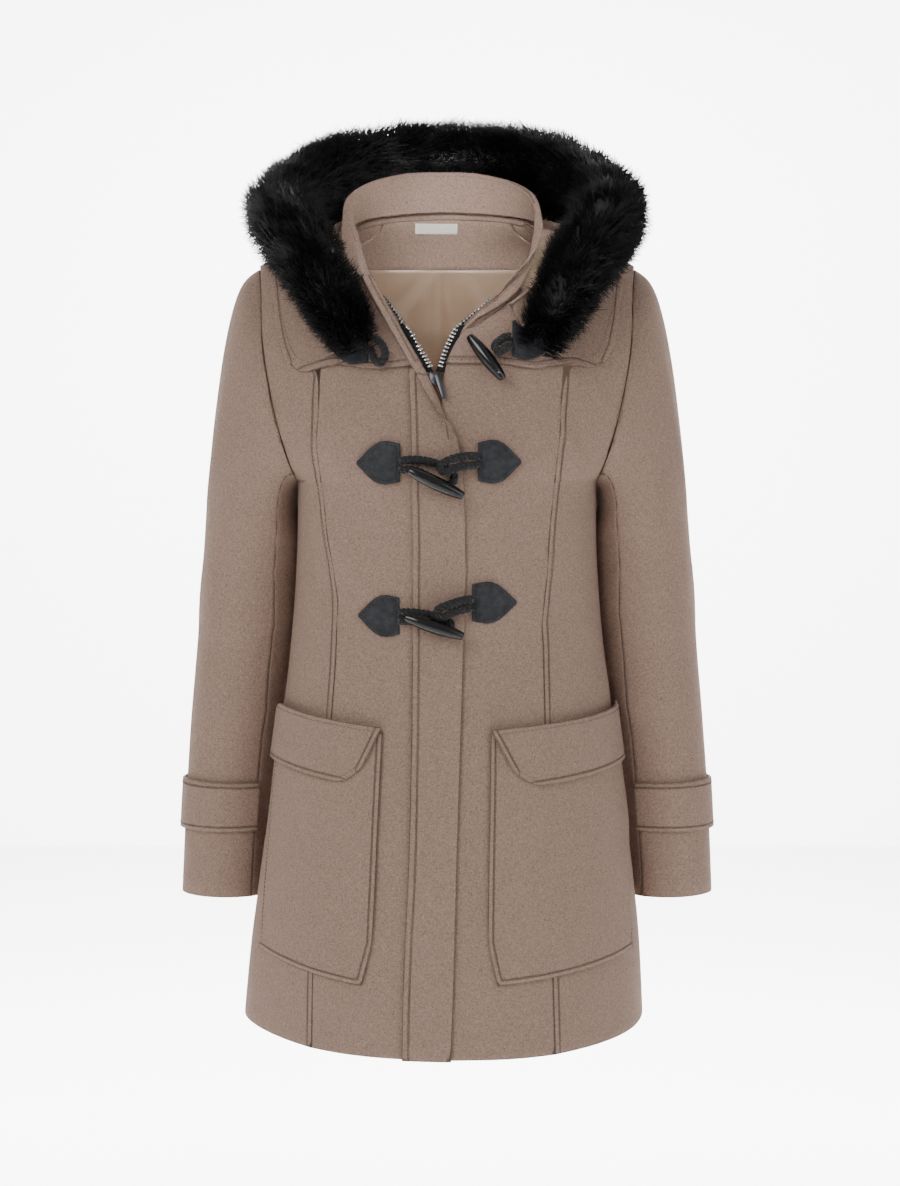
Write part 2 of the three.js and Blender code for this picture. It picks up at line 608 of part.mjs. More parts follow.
function placketLine(z, outward) {
  const foldX = z > -107 ? fromTable(PLACKET_FOLD_TOP, 'z', 'x', z) : frontLine('fold', z);
  const leftX = z > -107 ? foldX - PLACKET_TOP_TUCK : frontLine('placketLeft', z);
  const angle = Math.max((fromTable(PLACKET_TURN, 'z', 'degrees', z) * Math.PI) / 180, 0.001);
  const lift = fromTable(PLACKET_TURN, 'z', 'lift', z);
  const radius = PLACKET_ARC / angle;
  const arc = (bend) => ({ e: radius * Math.sin(bend), m: radius * (1 - Math.cos(bend)), bend });
  const end = arc(angle);
  const edge = {
    e: end.e + PLACKET_EDGE * Math.cos(angle),
    m: end.m + PLACKET_EDGE * Math.sin(angle),
    bend: angle,
  };
  const flat = leftX - foldX;
  const profile = [
    { e: flat, m: 0, bend: 0 }, { e: flat / 2 - 0.7, m: 0, bend: 0 },
    { e: -1.4, m: 0, bend: 0 }, { e: 0, m: 0, bend: 0 },
    arc(angle / 2), end, edge,
  ];
  return profile.map(({ e, m, bend }) => {
    const sideways = e - outward * Math.sin(bend);
    const out = lift + m + outward * Math.cos(bend);
    return frontPoint(foldX + sideways, z, out);
  });
}

function addPlacket() {
  const outer = PLACKET_ROWS.map((z) => placketLine(z, PLACKET_HALF_WALL));
  const inner = PLACKET_ROWS.map((z) => placketLine(z, -PLACKET_HALF_WALL));
  addPiece('placket', wall(outer, inner), 'wool');
}

// A patch on the front between four corners; across runs outward, down runs from top to bottom
function patchGrid(corner, rows, columns, out) {
  const grid = [];
  for (let j = 0; j <= rows; j += 1) {
    const line = [];
    for (let i = 0; i <= columns; i += 1) {
      const { from, to, across, z } = corner(i / columns, j / rows);
      line.push(bodyPoint(mix(frontTurn(from, z), frontTurn(to, z), across), z, out));
    }
    grid.push(line);
  }
  return grid;
}

const POCKET_GAP = 1.1;
const POCKET_ROUND = 9;
const FLAP_ROUND = 12;

// Pull the corners of a patch in, so that its outline is rounded there
function roundedShare(share, reach, roundness) {
  return share < reach ? roundness * (1 - Math.sqrt(1 - (1 - share / reach) ** 2)) : 0;
}

function addPocket(side) {
  const sign = side === 'left' ? -1 : 1;
  const p = POCKETS[side];
  const corner = (across, down) => {
    const rounding = roundedShare(1 - down, 0.12, POCKET_ROUND);
    const inner = mix(p.inTop, p.inLow, down) + sign * rounding;
    const outer = mix(p.outTop, p.outLow, down);
    return { from: inner, to: outer, across, z: mix(p.top, mix(p.lowIn, p.lowOut, across), down) };
  };
  const outer = patchGrid(corner, 6, 8, POCKET_GAP + CLOTH);
  const inner = patchGrid(corner, 6, 8, POCKET_GAP);
  addPiece(`pocket_${side}`, wall(outer, inner), 'wool');

  const f = FLAPS[side];
  const flapCorner = (across, down) => {
    const inside = roundedShare(1 - down, 0.3, FLAP_ROUND);
    const inX = mix(f.inTop, f.inLow, down) + sign * inside;
    const outX = mix(f.outTop, f.outLow, down) - sign * inside * 0.6;
    const top = mix(f.topIn, f.topOut, across);
    return { from: inX, to: outX, across, z: top - f.drop * down };
  };
  const lift = 2 * POCKET_GAP + CLOTH;
  const flapOuter = patchGrid(flapCorner, 4, 8, lift + FLAP_WALL);
  const flapInner = patchGrid(flapCorner, 4, 8, lift);
  addPiece(`pocket_flap_${side}`, wall(flapOuter, flapInner), 'wool');
}

// Leather pad: flat towards the toggle, swelling and then running to a soft point
function addLeatherPad(name, pad) {
  const halfHeight = (along) => {
    const swell = 0.82 + 0.5 * along - 0.3 * along * along;
    const point = along > 0.3 ? Math.max(1 - ((along - 0.3) / 0.7) ** 1.6, 0.07) : 1;
    return pad.half * Math.min(swell, 1) * point;
  };
  const corner = (across, along) => ({
    from: pad.flat,
    to: pad.tip,
    across: along,
    z: pad.z + (2 * across - 1) * halfHeight(along),
  });
  const under = pad.on + LAYER_GAP;
  const outer = patchGrid(corner, 7, 4, under + PAD_WALL);
  const inner = patchGrid(corner, 7, 4, under);
  addPiece(name, wall(outer, inner), 'leather');
}

// Sleeve: one ring of the shape, as the share along the ring's two axes for each column
function sleeveShape(column, ring) {
  const half = SLEEVE_HALF_COLUMNS;
  const step = column <= half ? column : 2 * half - column;
  const sideways = column <= half ? 1 : -1;
  const hole = ARMHOLE[step];
  const holeUp = (2 * hole.z) / -UNDERARM + 1;
  const holeSide = surfacePoint(hole.turn, hole.z).y / -SLEEVE[0].deep;
  const seamAngle = mix(SEAM_ANGLE_TOP, SEAM_ANGLE_HEM, ring / (SLEEVE.length - 1));
  const beyond = step - SLEEVE_SEAM_COLUMN;
  const degrees = beyond <= 0
    ? (seamAngle * step) / SLEEVE_SEAM_COLUMN
    : mix(seamAngle, 180, beyond / (half - SLEEVE_SEAM_COLUMN));
  const angle = (degrees * Math.PI) / 180;
  const settled = Math.min(ring / SLEEVE_SHAPE_RINGS, 1);
  return {
    up: mix(holeUp, Math.cos(angle), settled),
    side: sideways * mix(holeSide, Math.sin(angle), settled),
  };
}

function sleeveSurface(sign, column, ring) {
  if (ring === 0) {
    const half = SLEEVE_HALF_COLUMNS;
    const hole = ARMHOLE[column <= half ? column : 2 * half - column];
    const turn = column <= half ? hole.turn : 2 - hole.turn;
    return surfacePoint(sign * turn, hole.z);
  }
  const at = (name) => fromTable(SLEEVE, 'ring', name, ring);
  const shape = sleeveShape(column, ring);
  const x = (at('outX') + at('inX')) / 2 + (shape.up * (at('outX') - at('inX'))) / 2;
  const z = (at('outZ') + at('inZ')) / 2 + (shape.up * (at('outZ') - at('inZ'))) / 2;
  return new THREE.Vector3(sign * x, at('y') - shape.side * at('deep'), z);
}

// Outward direction of a sleeve, from its neighbours round and along it
function sleeveNormal(sign, column, ring) {
  const count = 2 * SLEEVE_HALF_COLUMNS;
  const top = SLEEVE.length - 1;
  const next = sleeveSurface(sign, (column + 1) % count, ring);
  const before = sleeveSurface(sign, (column + count - 1) % count, ring);
  const lower = sleeveSurface(sign, column, Math.min(ring + 0.5, top));
  const upper = sleeveSurface(sign, column, Math.max(ring - 0.5, ring === 0 ? 0 : 0.01));
  const around = next.sub(before);
  const along = lower.sub(upper);
  return around.cross(along).normalize().multiplyScalar(sign);
}

function sleevePoint(sign, column, ring, out) {
  const point = sleeveSurface(sign, column, ring);
  if (ring === 0) {
    const nearTop = column < 2 || column > 2 * SLEEVE_HALF_COLUMNS - 2;
    const towards = sleeveSurface(sign, column, 1).sub(point).setLength(nearTop ? SHOULDER_GAP : ARMHOLE_GAP);
    point.add(towards);
  }
  return point.addScaledVector(sleeveNormal(sign, column, ring), out);
}

function sleeveGrid(sign, columns, rings, out) {
  const count = 2 * SLEEVE_HALF_COLUMNS;
  return rings.map((ring) => {
    const line = columns.map((c) => sleevePoint(sign, (c + count) % count, ring, out));
    return pulledIn(line);
  });
}

function addSleeve(side) {
  const sign = side === 'left' ? -1 : 1;
  const seam = SLEEVE_SEAM_COLUMN;
  const half = SLEEVE_HALF_COLUMNS;
  const rings = SLEEVE.map((row) => row.ring);
  const topColumns = [];
  for (let c = -seam; c <= seam; c += 1) topColumns.push(c);
  const underColumns = [];
  for (let c = seam; c <= 2 * half - seam; c += 1) underColumns.push(c);
  const build = (columns, ringList, out, into) => wall(
    sleeveGrid(sign, columns, ringList, out),
    sleeveGrid(sign, columns, ringList, into),
  );
  addPiece(`sleeve_top_${side}`, build(topColumns, rings, 0, -CLOTH), 'wool');
  addPiece(`sleeve_under_${side}`, build(underColumns, rings, 0, -CLOTH), 'wool');
  const cuff = build(topColumns, CUFF_RINGS, CUFF_GAP + CUFF_WALL, CUFF_GAP);
  addPiece(`cuff_band_${side}`, cuff, 'wool');
}

// Collar: smooth foot and top lines through the table's rows
function collarCurves() {
  const feet = COLLAR.map(({ footX, footZ, behind }) => {
    const turn = behind ? backTurn(footX, footZ) : frontTurn(footX, footZ);
    return bodyPoint(turn, footZ, COLLAR_LIFT);
  });
  const tops = COLLAR.map(({ topX, topY, topZ }) => new THREE.Vector3(topX, topY, topZ));
  return {
    foot: new THREE.CatmullRomCurve3(feet, false, 'centripetal'),
    top: new THREE.CatmullRomCurve3(tops, false, 'centripetal'),
  };
}

const collar = collarCurves();
const COLLAR_COLUMNS = 28;
const COLLAR_ROWS = 3;

// Level direction pointing away from the neck at a share of the way round the collar
function awayFromNeck(along) {
  const near = collar.foot.getPoint(Math.max(along - 0.01, 0));
  const far = collar.foot.getPoint(Math.min(along + 0.01, 1));
  const direction = far.sub(near);
  return new THREE.Vector3(-direction.y, direction.x, 0).normalize();
}

function collarPoint(along, up, out) {
  const foot = collar.foot.getPoint(along);
  const top = collar.top.getPoint(along);
  const bow = Math.sin(up * Math.PI) * 1.5;
  return foot.lerp(top, up).addScaledVector(awayFromNeck(along), out - bow);
}

function addCollar() {
  const grid = (out) => {
    const rows = [];
    for (let j = 0; j <= COLLAR_ROWS; j += 1) {
      const line = [];
      for (let i = 0; i <= COLLAR_COLUMNS; i += 1) {
        line.push(collarPoint(i / COLLAR_COLUMNS, j / COLLAR_ROWS, out));
      }
      rows.push(line);
    }
    return rows;
  };
  addPiece('collar', wall(grid(COLLAR_WALL), grid(0)), 'wool');
}

// Inside the back neck: wool facing, satin lining below it, and a bare label
const FACING_EDGE = 1.42;
const FACING_LOW = 5;
const LINING_EDGE = 1.4;
const LINING_LOW = -150;
const INSIDE_GAP = 1.8;
const INSIDE = -CLOTH - INSIDE_GAP;

function insideGrid(edge, columns, rowShares, low, top, out) {
  return rowShares.map((share) => {
    const line = [];
    for (let i = 0; i <= columns; i += 1) {
      const fromCentre = Math.abs((2 * i) / columns - 1);
      const z = mix(low(fromCentre), top(fromCentre), share);
      line.push(bodyPoint(edge + ((4 - 2 * edge) * i) / columns, z, out));
    }
    return line;
  });
}

function addNeckInside() {
  const neck = (fromCentre) => fromTable(BACK_NECK, 'along', 'z', fromCentre * (2 - FACING_EDGE)) - 3;
  const facingLow = () => FACING_LOW;
  const facing = (out) => insideGrid(FACING_EDGE, 14, [0, 0.35, 0.7, 1], facingLow, neck, out);
  addPiece('neck_facing', wall(facing(INSIDE), facing(INSIDE - CLOTH)), 'wool');
  const liningTop = () => FACING_LOW - SEAM_GAP;
  const liningLow = () => LINING_LOW;
  const shares = [0, 0.25, 0.5, 0.75, 1];
  const lining = (out) => insideGrid(LINING_EDGE, 12, shares, liningLow, liningTop, out);
  addPiece('back_lining', wall(lining(INSIDE), lining(INSIDE - SATIN)), 'satin');
  const labelOut = INSIDE - CLOTH - 0.6;
  const label = (out) => [41, 51].map((z) => {
    const line = [];
    for (let i = 0; i <= 4; i += 1) line.push(bodyPoint(backTurn(mix(-34, 11, i / 4), z), z, out));
    return line;
  });
  addPiece('neck_label', wall(label(labelOut), label(labelOut - LABEL_WALL)), 'label');
}

// Points on the shoulders and upper body, with their outward directions
const shoulderSamples = [];
for (let z = -150; z <= 50; z += 4) {
  for (let turn = -2; turn < 2; turn += 0.02) {
    if (z < SHOULDER_NECK || Math.abs(turn) > 1.3) {
      shoulderSamples.push({ point: surfacePoint(turn, z), out: surfaceNormal(turn, z) });
    }
  }
}

// Move a point out until it lies clear of the shoulders
function clearOfBody(point, clearance) {
  let nearest = shoulderSamples[0];
  let least = Infinity;
  shoulderSamples.forEach((sample) => {
    const distance = sample.point.distanceToSquared(point);
    if (distance < least) {
      least = distance;
      nearest = sample;
    }
  });
  const height = point.clone().sub(nearest.point).dot(nearest.out);
  if (height < clearance) point.addScaledVector(nearest.out, clearance - height);
  return point;
}

// Fur: one roll along the hood's edge, its surface uneven as locks of fur are
function furCurve() {
  const left = FUR.slice(0, -1).map(({ x, y, z }) => new THREE.Vector3(-x, y, z));
  const right = FUR.slice().reverse().map(({ x, y, z }) => new THREE.Vector3(x, y, z));
  return new THREE.CatmullRomCurve3([...left, ...right], false, 'centripetal');
}

const furLine = furCurve();

// Radius at a share of the roll's length
function furRadius(along) {
  const position = (1 - Math.abs(2 * along - 1)) * (FUR.length - 1);
  const rows = FUR.map((row, index) => ({ index, radius: row.radius }));
  return fromTable(rows, 'index', 'radius', position);
}

// Two directions across the fur roll at a share of its length
function furFrame(along) {
  const tangent = furLine.getTangent(along);
  const side = tangent.clone().cross(UP).normalize();
  const rise = side.clone().cross(tangent).normalize();
  return { side, rise };
}

function furPoint(along, angle, radius) {
  const { side, rise } = furFrame(along);
  return furLine.getPoint(along)
    .addScaledVector(side, radius * Math.cos(angle))
    .addScaledVector(rise, radius * Math.sin(angle));
}

function addFur() {
  const rings = 2 * FUR_RINGS_HALF;
  const positions = [];
  const push = (p) => positions.push(p.x, p.y, p.z);
  for (let j = 0; j <= rings; j += 1) {
    const along = j / rings;
    const radius = furRadius(along);
    for (let k = 0; k < FUR_SIDES; k += 1) {
      const angle = (2 * Math.PI * (k + 0.5 * (j % 2))) / FUR_SIDES;
      const lock = FUR_ROUGHNESS * Math.sin(7.3 * j + 4.1 * k) * (radius / 40);
      push(clearOfBody(furPoint(along, angle, radius - FUR_ROUGHNESS + lock), FUR_CLEARANCE));
    }
  }
  const tip = (along, length) => {
    const tangent = furLine.getTangent(along);
    push(furLine.getPoint(along).addScaledVector(tangent, length));
  };
  tip(0, -12);
  tip(1, 12);
  const faces = [];
  const at = (j, k) => j * FUR_SIDES + (k % FUR_SIDES);
  for (let j = 0; j < rings; j += 1) {
    for (let k = 0; k < FUR_SIDES; k += 1) {
      const even = j % 2 === 0;
      const a = at(j, k);
      const b = at(j, k + 1);
      const c = at(j + 1, k + 1);
      const d = at(j + 1, k);
      if (even) faces.push(a, b, d, b, c, d);
      else faces.push(a, b, c, a, c, d);
    }
  }
  const first = positions.length / 3 - 2;
  for (let k = 0; k < FUR_SIDES; k += 1) {
    faces.push(first, at(0, k + 1), at(0, k));
    faces.push(first + 1, at(rings, k), at(rings, k + 1));
  }
  addPiece('hood_fur', closedGeometry(positions, faces), 'fur');
}

// Hood: lies back from the neck seam, hangs behind as a pouch and ends at the fur
const HOOD_START = 19;
const HOOD_START_LIFT = 0;
const HOOD_CLEARANCE = 9;
const HOOD_SMOOTHING = 15;
const HOOD_FUR_GAP = 5;
const HOOD_INSIDE_GAP = 1.4;
const HOOD_LINING_SIDE = 3;

function hoodProfile(column) {
  const centred = (2 * column) / HOOD_COLUMNS - 1;
  const along = 0.5 + (centred * HOOD_FRONT) / 2;
  const fall = fromTable(HOOD_FALL, 'along', 'fall', Math.abs(centred));
  const away = awayFromNeck(along);
  const start = collar.foot.getPoint(along)
    .addScaledVector(away, HOOD_START)
    .addScaledVector(UP, HOOD_START_LIFT);
  const furAlong = 0.5 + centred * 0.46;
  const centre = furLine.getPoint(furAlong);
  const towards = start.clone().sub(centre).setZ(0).normalize();
  const inward = mix(0.9, -0.25, fall);
  const end = centre.clone()
    .addScaledVector(towards, furRadius(furAlong) * inward)
    .addScaledVector(UP, -furRadius(furAlong) * Math.sqrt(1 - inward * inward))
    .addScaledVector(towards, HOOD_FUR_GAP * inward)
    .addScaledVector(UP, -HOOD_FUR_GAP * Math.sqrt(1 - inward * inward));
  const reach = start.distanceTo(end);
  const first = start.clone()
    .addScaledVector(away, mix(reach * 0.3, 36, fall))
    .addScaledVector(UP, mix(1, -120, fall));
  const second = end.clone()
    .addScaledVector(away, mix(-reach * 0.3, 62, fall))
    .addScaledVector(UP, mix(-reach * 0.12, -210, fall));
  return new THREE.CubicBezierCurve3(start, first, second, end);
}

function hoodGrids() {
  const profiles = [];
  for (let i = 0; i <= HOOD_COLUMNS; i += 1) profiles.push(hoodProfile(i));
  const middle = [];
  for (let j = 0; j <= HOOD_ROWS; j += 1) {
    middle.push(profiles.map((curve) => curve.getPoint(j / HOOD_ROWS)));
  }
  const lift = () => middle.slice(1, -1).forEach((line) => (
    line.forEach((p) => clearOfBody(p, HOOD_CLEARANCE))
  ));
  lift();
  for (let pass = 0; pass < HOOD_SMOOTHING; pass += 1) {
    for (let j = 1; j < HOOD_ROWS; j += 1) {
      for (let i = 1; i < HOOD_COLUMNS; i += 1) {
        const around = middle[j][i - 1].clone().add(middle[j][i + 1]);
        around.add(middle[j - 1][i]).add(middle[j + 1][i]).multiplyScalar(0.25);
        middle[j][i].lerp(around, 0.5);
      }
    }
  }
  lift();
  const normalAt = (j, i) => {
    const across = middle[j][Math.min(i + 1, HOOD_COLUMNS)].clone().sub(middle[j][Math.max(i - 1, 0)]);
    const down = middle[Math.min(j + 1, HOOD_ROWS)][i].clone().sub(middle[Math.max(j - 1, 0)][i]);
    return across.cross(down).normalize();
  };
  const normals = middle.map((line, j) => line.map((p, i) => normalAt(j, i)));
  const smooth = (j, i) => {
    const sum = new THREE.Vector3();
    for (let dj = -1; dj <= 1; dj += 1) {
      for (let di = -1; di <= 1; di += 1) {
        const row = normals[Math.min(Math.max(j + dj, 0), HOOD_ROWS)];
        sum.add(row[Math.min(Math.max(i + di, 0), HOOD_COLUMNS)]);
      }
    }
    return sum.normalize();
  };
  return (out) => middle.map((line, j) => line.map((p, i) => (
    p.clone().addScaledVector(smooth(j, i), out)
  )));
}

function addHood() {
  const grid = hoodGrids();
  const half = CLOTH / 2;
  addPiece('hood_shell', wall(grid(half), grid(-half)), 'wool');
  const satinOut = half + HOOD_INSIDE_GAP;
  const inner = (out) => grid(out).map((line) => (
    line.slice(HOOD_LINING_SIDE, HOOD_COLUMNS + 1 - HOOD_LINING_SIDE)
  ));
  addPiece('hood_lining', wall(inner(satinOut + SATIN), inner(satinOut)), 'satin');
}

// Zip: two open tapes, the closed chain beneath the placket, slider and pull tab
function tapeLine(side, shown, out) {
  const sign = side === 'left' ? 1 : -1;
  const limit = SLIDER.x - sign * 0.6;
  const points = [];
  [-108, -98, -88, -80, -73, -67].forEach((z) => {
    const edge = openingEdge(side, z) + sign * shown;
    const x = sign > 0 ? Math.min(edge, limit) : Math.max(edge, limit);
    const rise = Math.min(Math.max((z + 86) / 19, 0), 1);
    const beside = shown < 0 ? -shown * sign * rise : 0;
    points.push(frontPoint(x + beside, z, mix(-CLOTH - 0.6, -0.4, rise) + out));
  });
  const along = side === 'left' ? 0 : 1;
  [0.2, 0.45, 0.7, 0.97].forEach((up) => {
    const point = collarPoint(along, up, -2.4 + out);
    const inside = collarPoint(along + sign * 0.02, up, -2.4 + out);
    points.push(point.addScaledVector(point.clone().sub(inside).normalize(), shown));
  });
  return points;
}

function addZip() {
  ['left', 'right'].forEach((side) => {
    const grid = (out) => [-TAPE_BENEATH, TAPE_SHOWN].map((shown) => tapeLine(side, shown, out));
    addPiece(`zip_tape_${side}`, wall(grid(0), grid(-TAPE_WALL)), 'tape');
  });
  const rows = [];
  for (let z = CHAIN_END; z < CHAIN_TOP; z += 53) rows.push(z);
  const chain = (out) => rows.map((z) => [-CHAIN_HALF, 0, CHAIN_HALF].map((offset) => (
    frontPoint(frontLine('zip', z) + offset, z, out)
  )));
  addPiece('zip_chain', wall(chain(-CLOTH - 1.2), chain(-CLOTH - 3.0)), 'metal');
}

// Frame on the front's surface for small hard pieces: right, outward and up
function bevelledPlate(outline, thick, bevel) {
  const shape = new THREE.Shape(outline.map(([x, y]) => new THREE.Vector2(x, y)));
  const geometry = new THREE.ExtrudeGeometry(shape, {
    depth: thick - 2 * bevel, bevelEnabled: bevel > 0, bevelThickness: bevel, bevelSize: bevel,
    bevelOffset: -bevel, bevelSegments: 1, curveSegments: 6,
  });
  geometry.translate(0, 0, -thick / 2 + bevel);
  return geometry;
}

// Lay a plate, drawn in X and Y, flat on the front with its Y axis up
function layOnFront(geometry, x, z, stand, tilt) {
  const out = surfaceNormal(frontTurn(x, z), z);
  const right = new THREE.Vector3(1, 0, 0).addScaledVector(out, -out.x).normalize();
  const up = out.clone().cross(right).normalize();
  const matrix = new THREE.Matrix4().makeBasis(right, up, out);
  const turn = new THREE.Matrix4().makeRotationZ((tilt * Math.PI) / 180);
  matrix.multiply(turn);
  matrix.setPosition(frontPoint(x, z, stand));
  geometry.applyMatrix4(matrix);
  return geometry;
}

function addSlider() {
  const w = SLIDER.wide / 2;
  const h = SLIDER.high / 2;
  const body = [[-w, h], [-w, 0], [-w * 0.62, -h], [w * 0.62, -h], [w, 0], [w, h], [0, h * 0.72]];
  const slider = bevelledPlate(body.reverse(), SLIDER.deep, 0.8);
  addPiece('zip_slider', layOnFront(slider, SLIDER.x, SLIDER.z, SLIDER.stand, 0), 'metal');
  const half = TAB.wide / 2;
  const tab = [
    [-half * 0.7, 0], [-half, -5], [-half, -TAB.long + 2], [-half * 0.5, -TAB.long],
    [half * 0.5, -TAB.long], [half, -TAB.long + 2], [half, -5], [half * 0.7, 0],
  ];
  const plate = bevelledPlate(tab, TAB.thick, 0.3);
  addPiece('zip_pull_tab', layOnFront(plate, TAB.x, TAB.z, TAB.stand, TAB.tilt), 'metal');
}

// Toggle: a tapered bar with flat-cut ends, turned on a lathe
function addToggle(name, toggle) {
  const from = frontPoint(toggle.x0, toggle.z0, toggle.stand);
  const to = frontPoint(toggle.x1, toggle.z1, toggle.stand);
  const length = from.distanceTo(to);
  const profile = [
    [0, 0], [TOGGLE_END_RADIUS * 0.8, 0], [TOGGLE_END_RADIUS, 0.02], [TOGGLE_RADIUS * 0.86, 0.2],
    [TOGGLE_RADIUS, 0.42], [TOGGLE_RADIUS, 0.58], [TOGGLE_RADIUS * 0.86, 0.8],
    [TOGGLE_END_RADIUS, 0.98], [TOGGLE_END_RADIUS * 0.8, 1], [0, 1],
  ];
  const points = profile.map(([radius, share]) => new THREE.Vector2(radius, share * length));
  const geometry = new THREE.LatheGeometry(points, 12);
  const direction = to.clone().sub(from).normalize();
  const turn = new THREE.Quaternion().setFromUnitVectors(new THREE.Vector3(0, 1, 0), direction);
  geometry.applyQuaternion(turn);
  geometry.translate(from.x, from.y, from.z);
  addPiece(name, geometry, 'horn');
}

function addCord(name, points) {
  const path = new THREE.CatmullRomCurve3(points.map(([x, z, out]) => frontPoint(x, z, out)));
  const shape = new THREE.Shape();
  for (let k = 0; k < CORD_SIDES; k += 1) {
    const angle = (2 * Math.PI * k) / CORD_SIDES;
    const x = CORD_RADIUS * Math.cos(angle);
    const y = CORD_RADIUS * Math.sin(angle);
    if (k === 0) shape.moveTo(x, y);
    else shape.lineTo(x, y);
  }
  shape.closePath();
  const geometry = new THREE.ExtrudeGeometry(shape, { steps: CORD_STEPS, extrudePath: path });
  addPiece(name, geometry, 'cord');
}

addFronts();
addBacks();
addYokes();
addPlacket();
addPocket('left');
addPocket('right');
addSleeve('left');
addSleeve('right');
addCollar();
addNeckInside();
addFur();
addHood();
addZip();
addSlider();
Object.entries(PADS).forEach(([name, pad]) => addLeatherPad(name, pad));
Object.entries(TOGGLES).forEach(([name, toggle]) => addToggle(name, toggle));
Object.entries(CORDS).forEach(([name, points]) => addCord(`cord_${name}`, points));

export default coat;
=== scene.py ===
import functools
import math

import bmesh
import bpy
import numpy as np
from mathutils import Matrix, Vector
from mathutils.bvhtree import BVHTree
from mathutils.kdtree import KDTree


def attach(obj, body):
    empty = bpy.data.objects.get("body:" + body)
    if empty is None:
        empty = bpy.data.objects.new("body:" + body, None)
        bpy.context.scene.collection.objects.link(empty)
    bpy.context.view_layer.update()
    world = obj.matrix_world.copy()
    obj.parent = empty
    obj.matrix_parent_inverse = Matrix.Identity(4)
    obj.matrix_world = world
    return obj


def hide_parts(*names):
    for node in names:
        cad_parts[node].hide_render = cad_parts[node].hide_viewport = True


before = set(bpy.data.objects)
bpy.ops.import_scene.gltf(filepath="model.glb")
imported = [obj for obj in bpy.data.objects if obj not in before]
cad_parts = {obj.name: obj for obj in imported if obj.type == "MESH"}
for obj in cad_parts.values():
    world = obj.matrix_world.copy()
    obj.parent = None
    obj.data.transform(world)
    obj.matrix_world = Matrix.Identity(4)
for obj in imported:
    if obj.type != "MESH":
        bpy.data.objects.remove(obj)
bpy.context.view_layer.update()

bl_info = {
    "name": "Duffle coat",
    "version": (1, 0, 0),
    "blender": (4, 5, 0),
    "location": "3D View > Sidebar > Coat",
    "description": "Builds the cloth, fur, sewing and fastenings of a duffle coat",
    "category": "Object",
}

MM = 0.001

# Cloth pieces of satin, and the cloth pieces that go round a sleeve
SATIN = ("back_lining", "hood_lining")
ROUND_THE_SLEEVE = ("sleeve_top", "sleeve_under", "cuff_band")

# Folds of the body: bearing in degrees (0 front, 90 the coat's left) and height in mm at both
# ends, half width in mm and depth in mm, outward when positive
BODY_FOLDS = [
    ((-58, -250), (-30, -330), 16, 2.4),
    ((-64, -300), (-38, -352), 13, -2.0),
    ((56, -262), (30, -345), 15, 2.2),
    ((62, -318), (36, -366), 12, -1.8),
    ((-62, -205), (-40, -150), 12, 2.2),
    ((60, -212), (42, -158), 11, 2.0),
    ((-14, -300), (-18, -430), 15, 1.6),
    ((14, -380), (18, -560), 16, 1.8),
    ((-10, -470), (-12, -740), 15, 1.9),
    ((10, -560), (11, -750), 14, -1.6),
    ((-78, -440), (-84, -740), 24, 3.2),
    ((82, -420), (88, -740), 26, 3.4),
    ((116, -300), (112, -740), 24, -2.6),
    ((-118, -320), (-110, -740), 25, -2.8),
    ((140, -330), (138, -744), 26, 3.0),
    ((-146, -350), (-140, -744), 24, 3.3),
    ((172, -380), (176, -744), 22, -2.2),
    ((110, -230), (150, -300), 15, 2.3),
    ((-108, -240), (-152, -292), 16, 2.1),
    ((120, -292), (160, -330), 13, -1.8),
    ((-124, -300), (-166, -342), 12, -1.9),
    ((132, -150), (150, -90), 16, 1.8),
    ((-130, -160), (-152, -100), 15, 1.9),
]

# Folds of a sleeve: bearing round its own axis (0 front, 90 away from the body) and height
SLEEVE_FOLDS = [
    ((-60, -262), (20, -238), 11, 2.6),
    ((-70, -300), (34, -292), 10, -2.2),
    ((-62, -338), (28, -356), 11, 2.8),
    ((-40, -392), (50, -372), 12, -2.0),
    ((-78, -430), (10, -446), 12, 2.0),
    ((40, -120), (66, -230), 15, 2.2),
    ((0, -60), (14, -170), 12, -1.8),
    ((80, -300), (120, -380), 14, 1.9),
    ((110, -420), (160, -390), 13, 2.3),
    ((-160, -300), (-110, -330), 12, 2.4),
    ((150, -240), (200, -270), 13, -2.0),
    ((20, -590), (60, -622), 14, 1.6),
    ((-50, -500), (-30, -620), 13, 1.7),
    ((100, -470), (96, -620), 15, -1.5),
]

# Folds of the lining behind the neck, with the centre pleat first
LINING_FOLDS = [
    ((185, 0), (184, -150), 6, -4.2),
    ((180, 0), (178, -150), 9, 2.0),
    ((190, -4), (206, -48), 7, -3.4),
    ((196, -2), (214, -40), 6, 2.2),
    ((166, -14), (150, -70), 9, -2.8),
]

# Rims with a pressed-in row of topstitching beside them, and its distance in mm; the wool gets painted
# shade along each row
ROWS = {
    "front_side_left": (("right",), 5.8), "front_side_right": (("left",), 5.8),
    "yoke_back": (("bottom",), 5.8), "placket": (("left",), 6.4),
    "yoke_front_left": (("left", "bottom"), 6.8), "yoke_front_right": (("right", "bottom"), 6.8),
    "pocket_left": (("right", "bottom"), 5), "pocket_right": (("left", "bottom"), 5),
    "pocket_flap_left": (("left", "right", "bottom"), 5),
    "pocket_flap_right": (("left", "right", "bottom"), 5),
    "cuff_band_left": (("top", "bottom"), 4.8), "cuff_band_right": (("top", "bottom"), 4.8),
}

# Extra fullness of the body's sides below the arms, in mm
FLANK_EASE = 2.0

# How much lower the folds of the right sleeve start, in mm
RIGHT_SLEEVE_LOWER = 12

# Height and extra fullness of the sleeves towards the body, in mm
SLEEVE_EASE = [(-720, 8), (-560, 8), (-450, 10), (-330, 12), (-262, 12), (-218, 4), (-195, 0)]

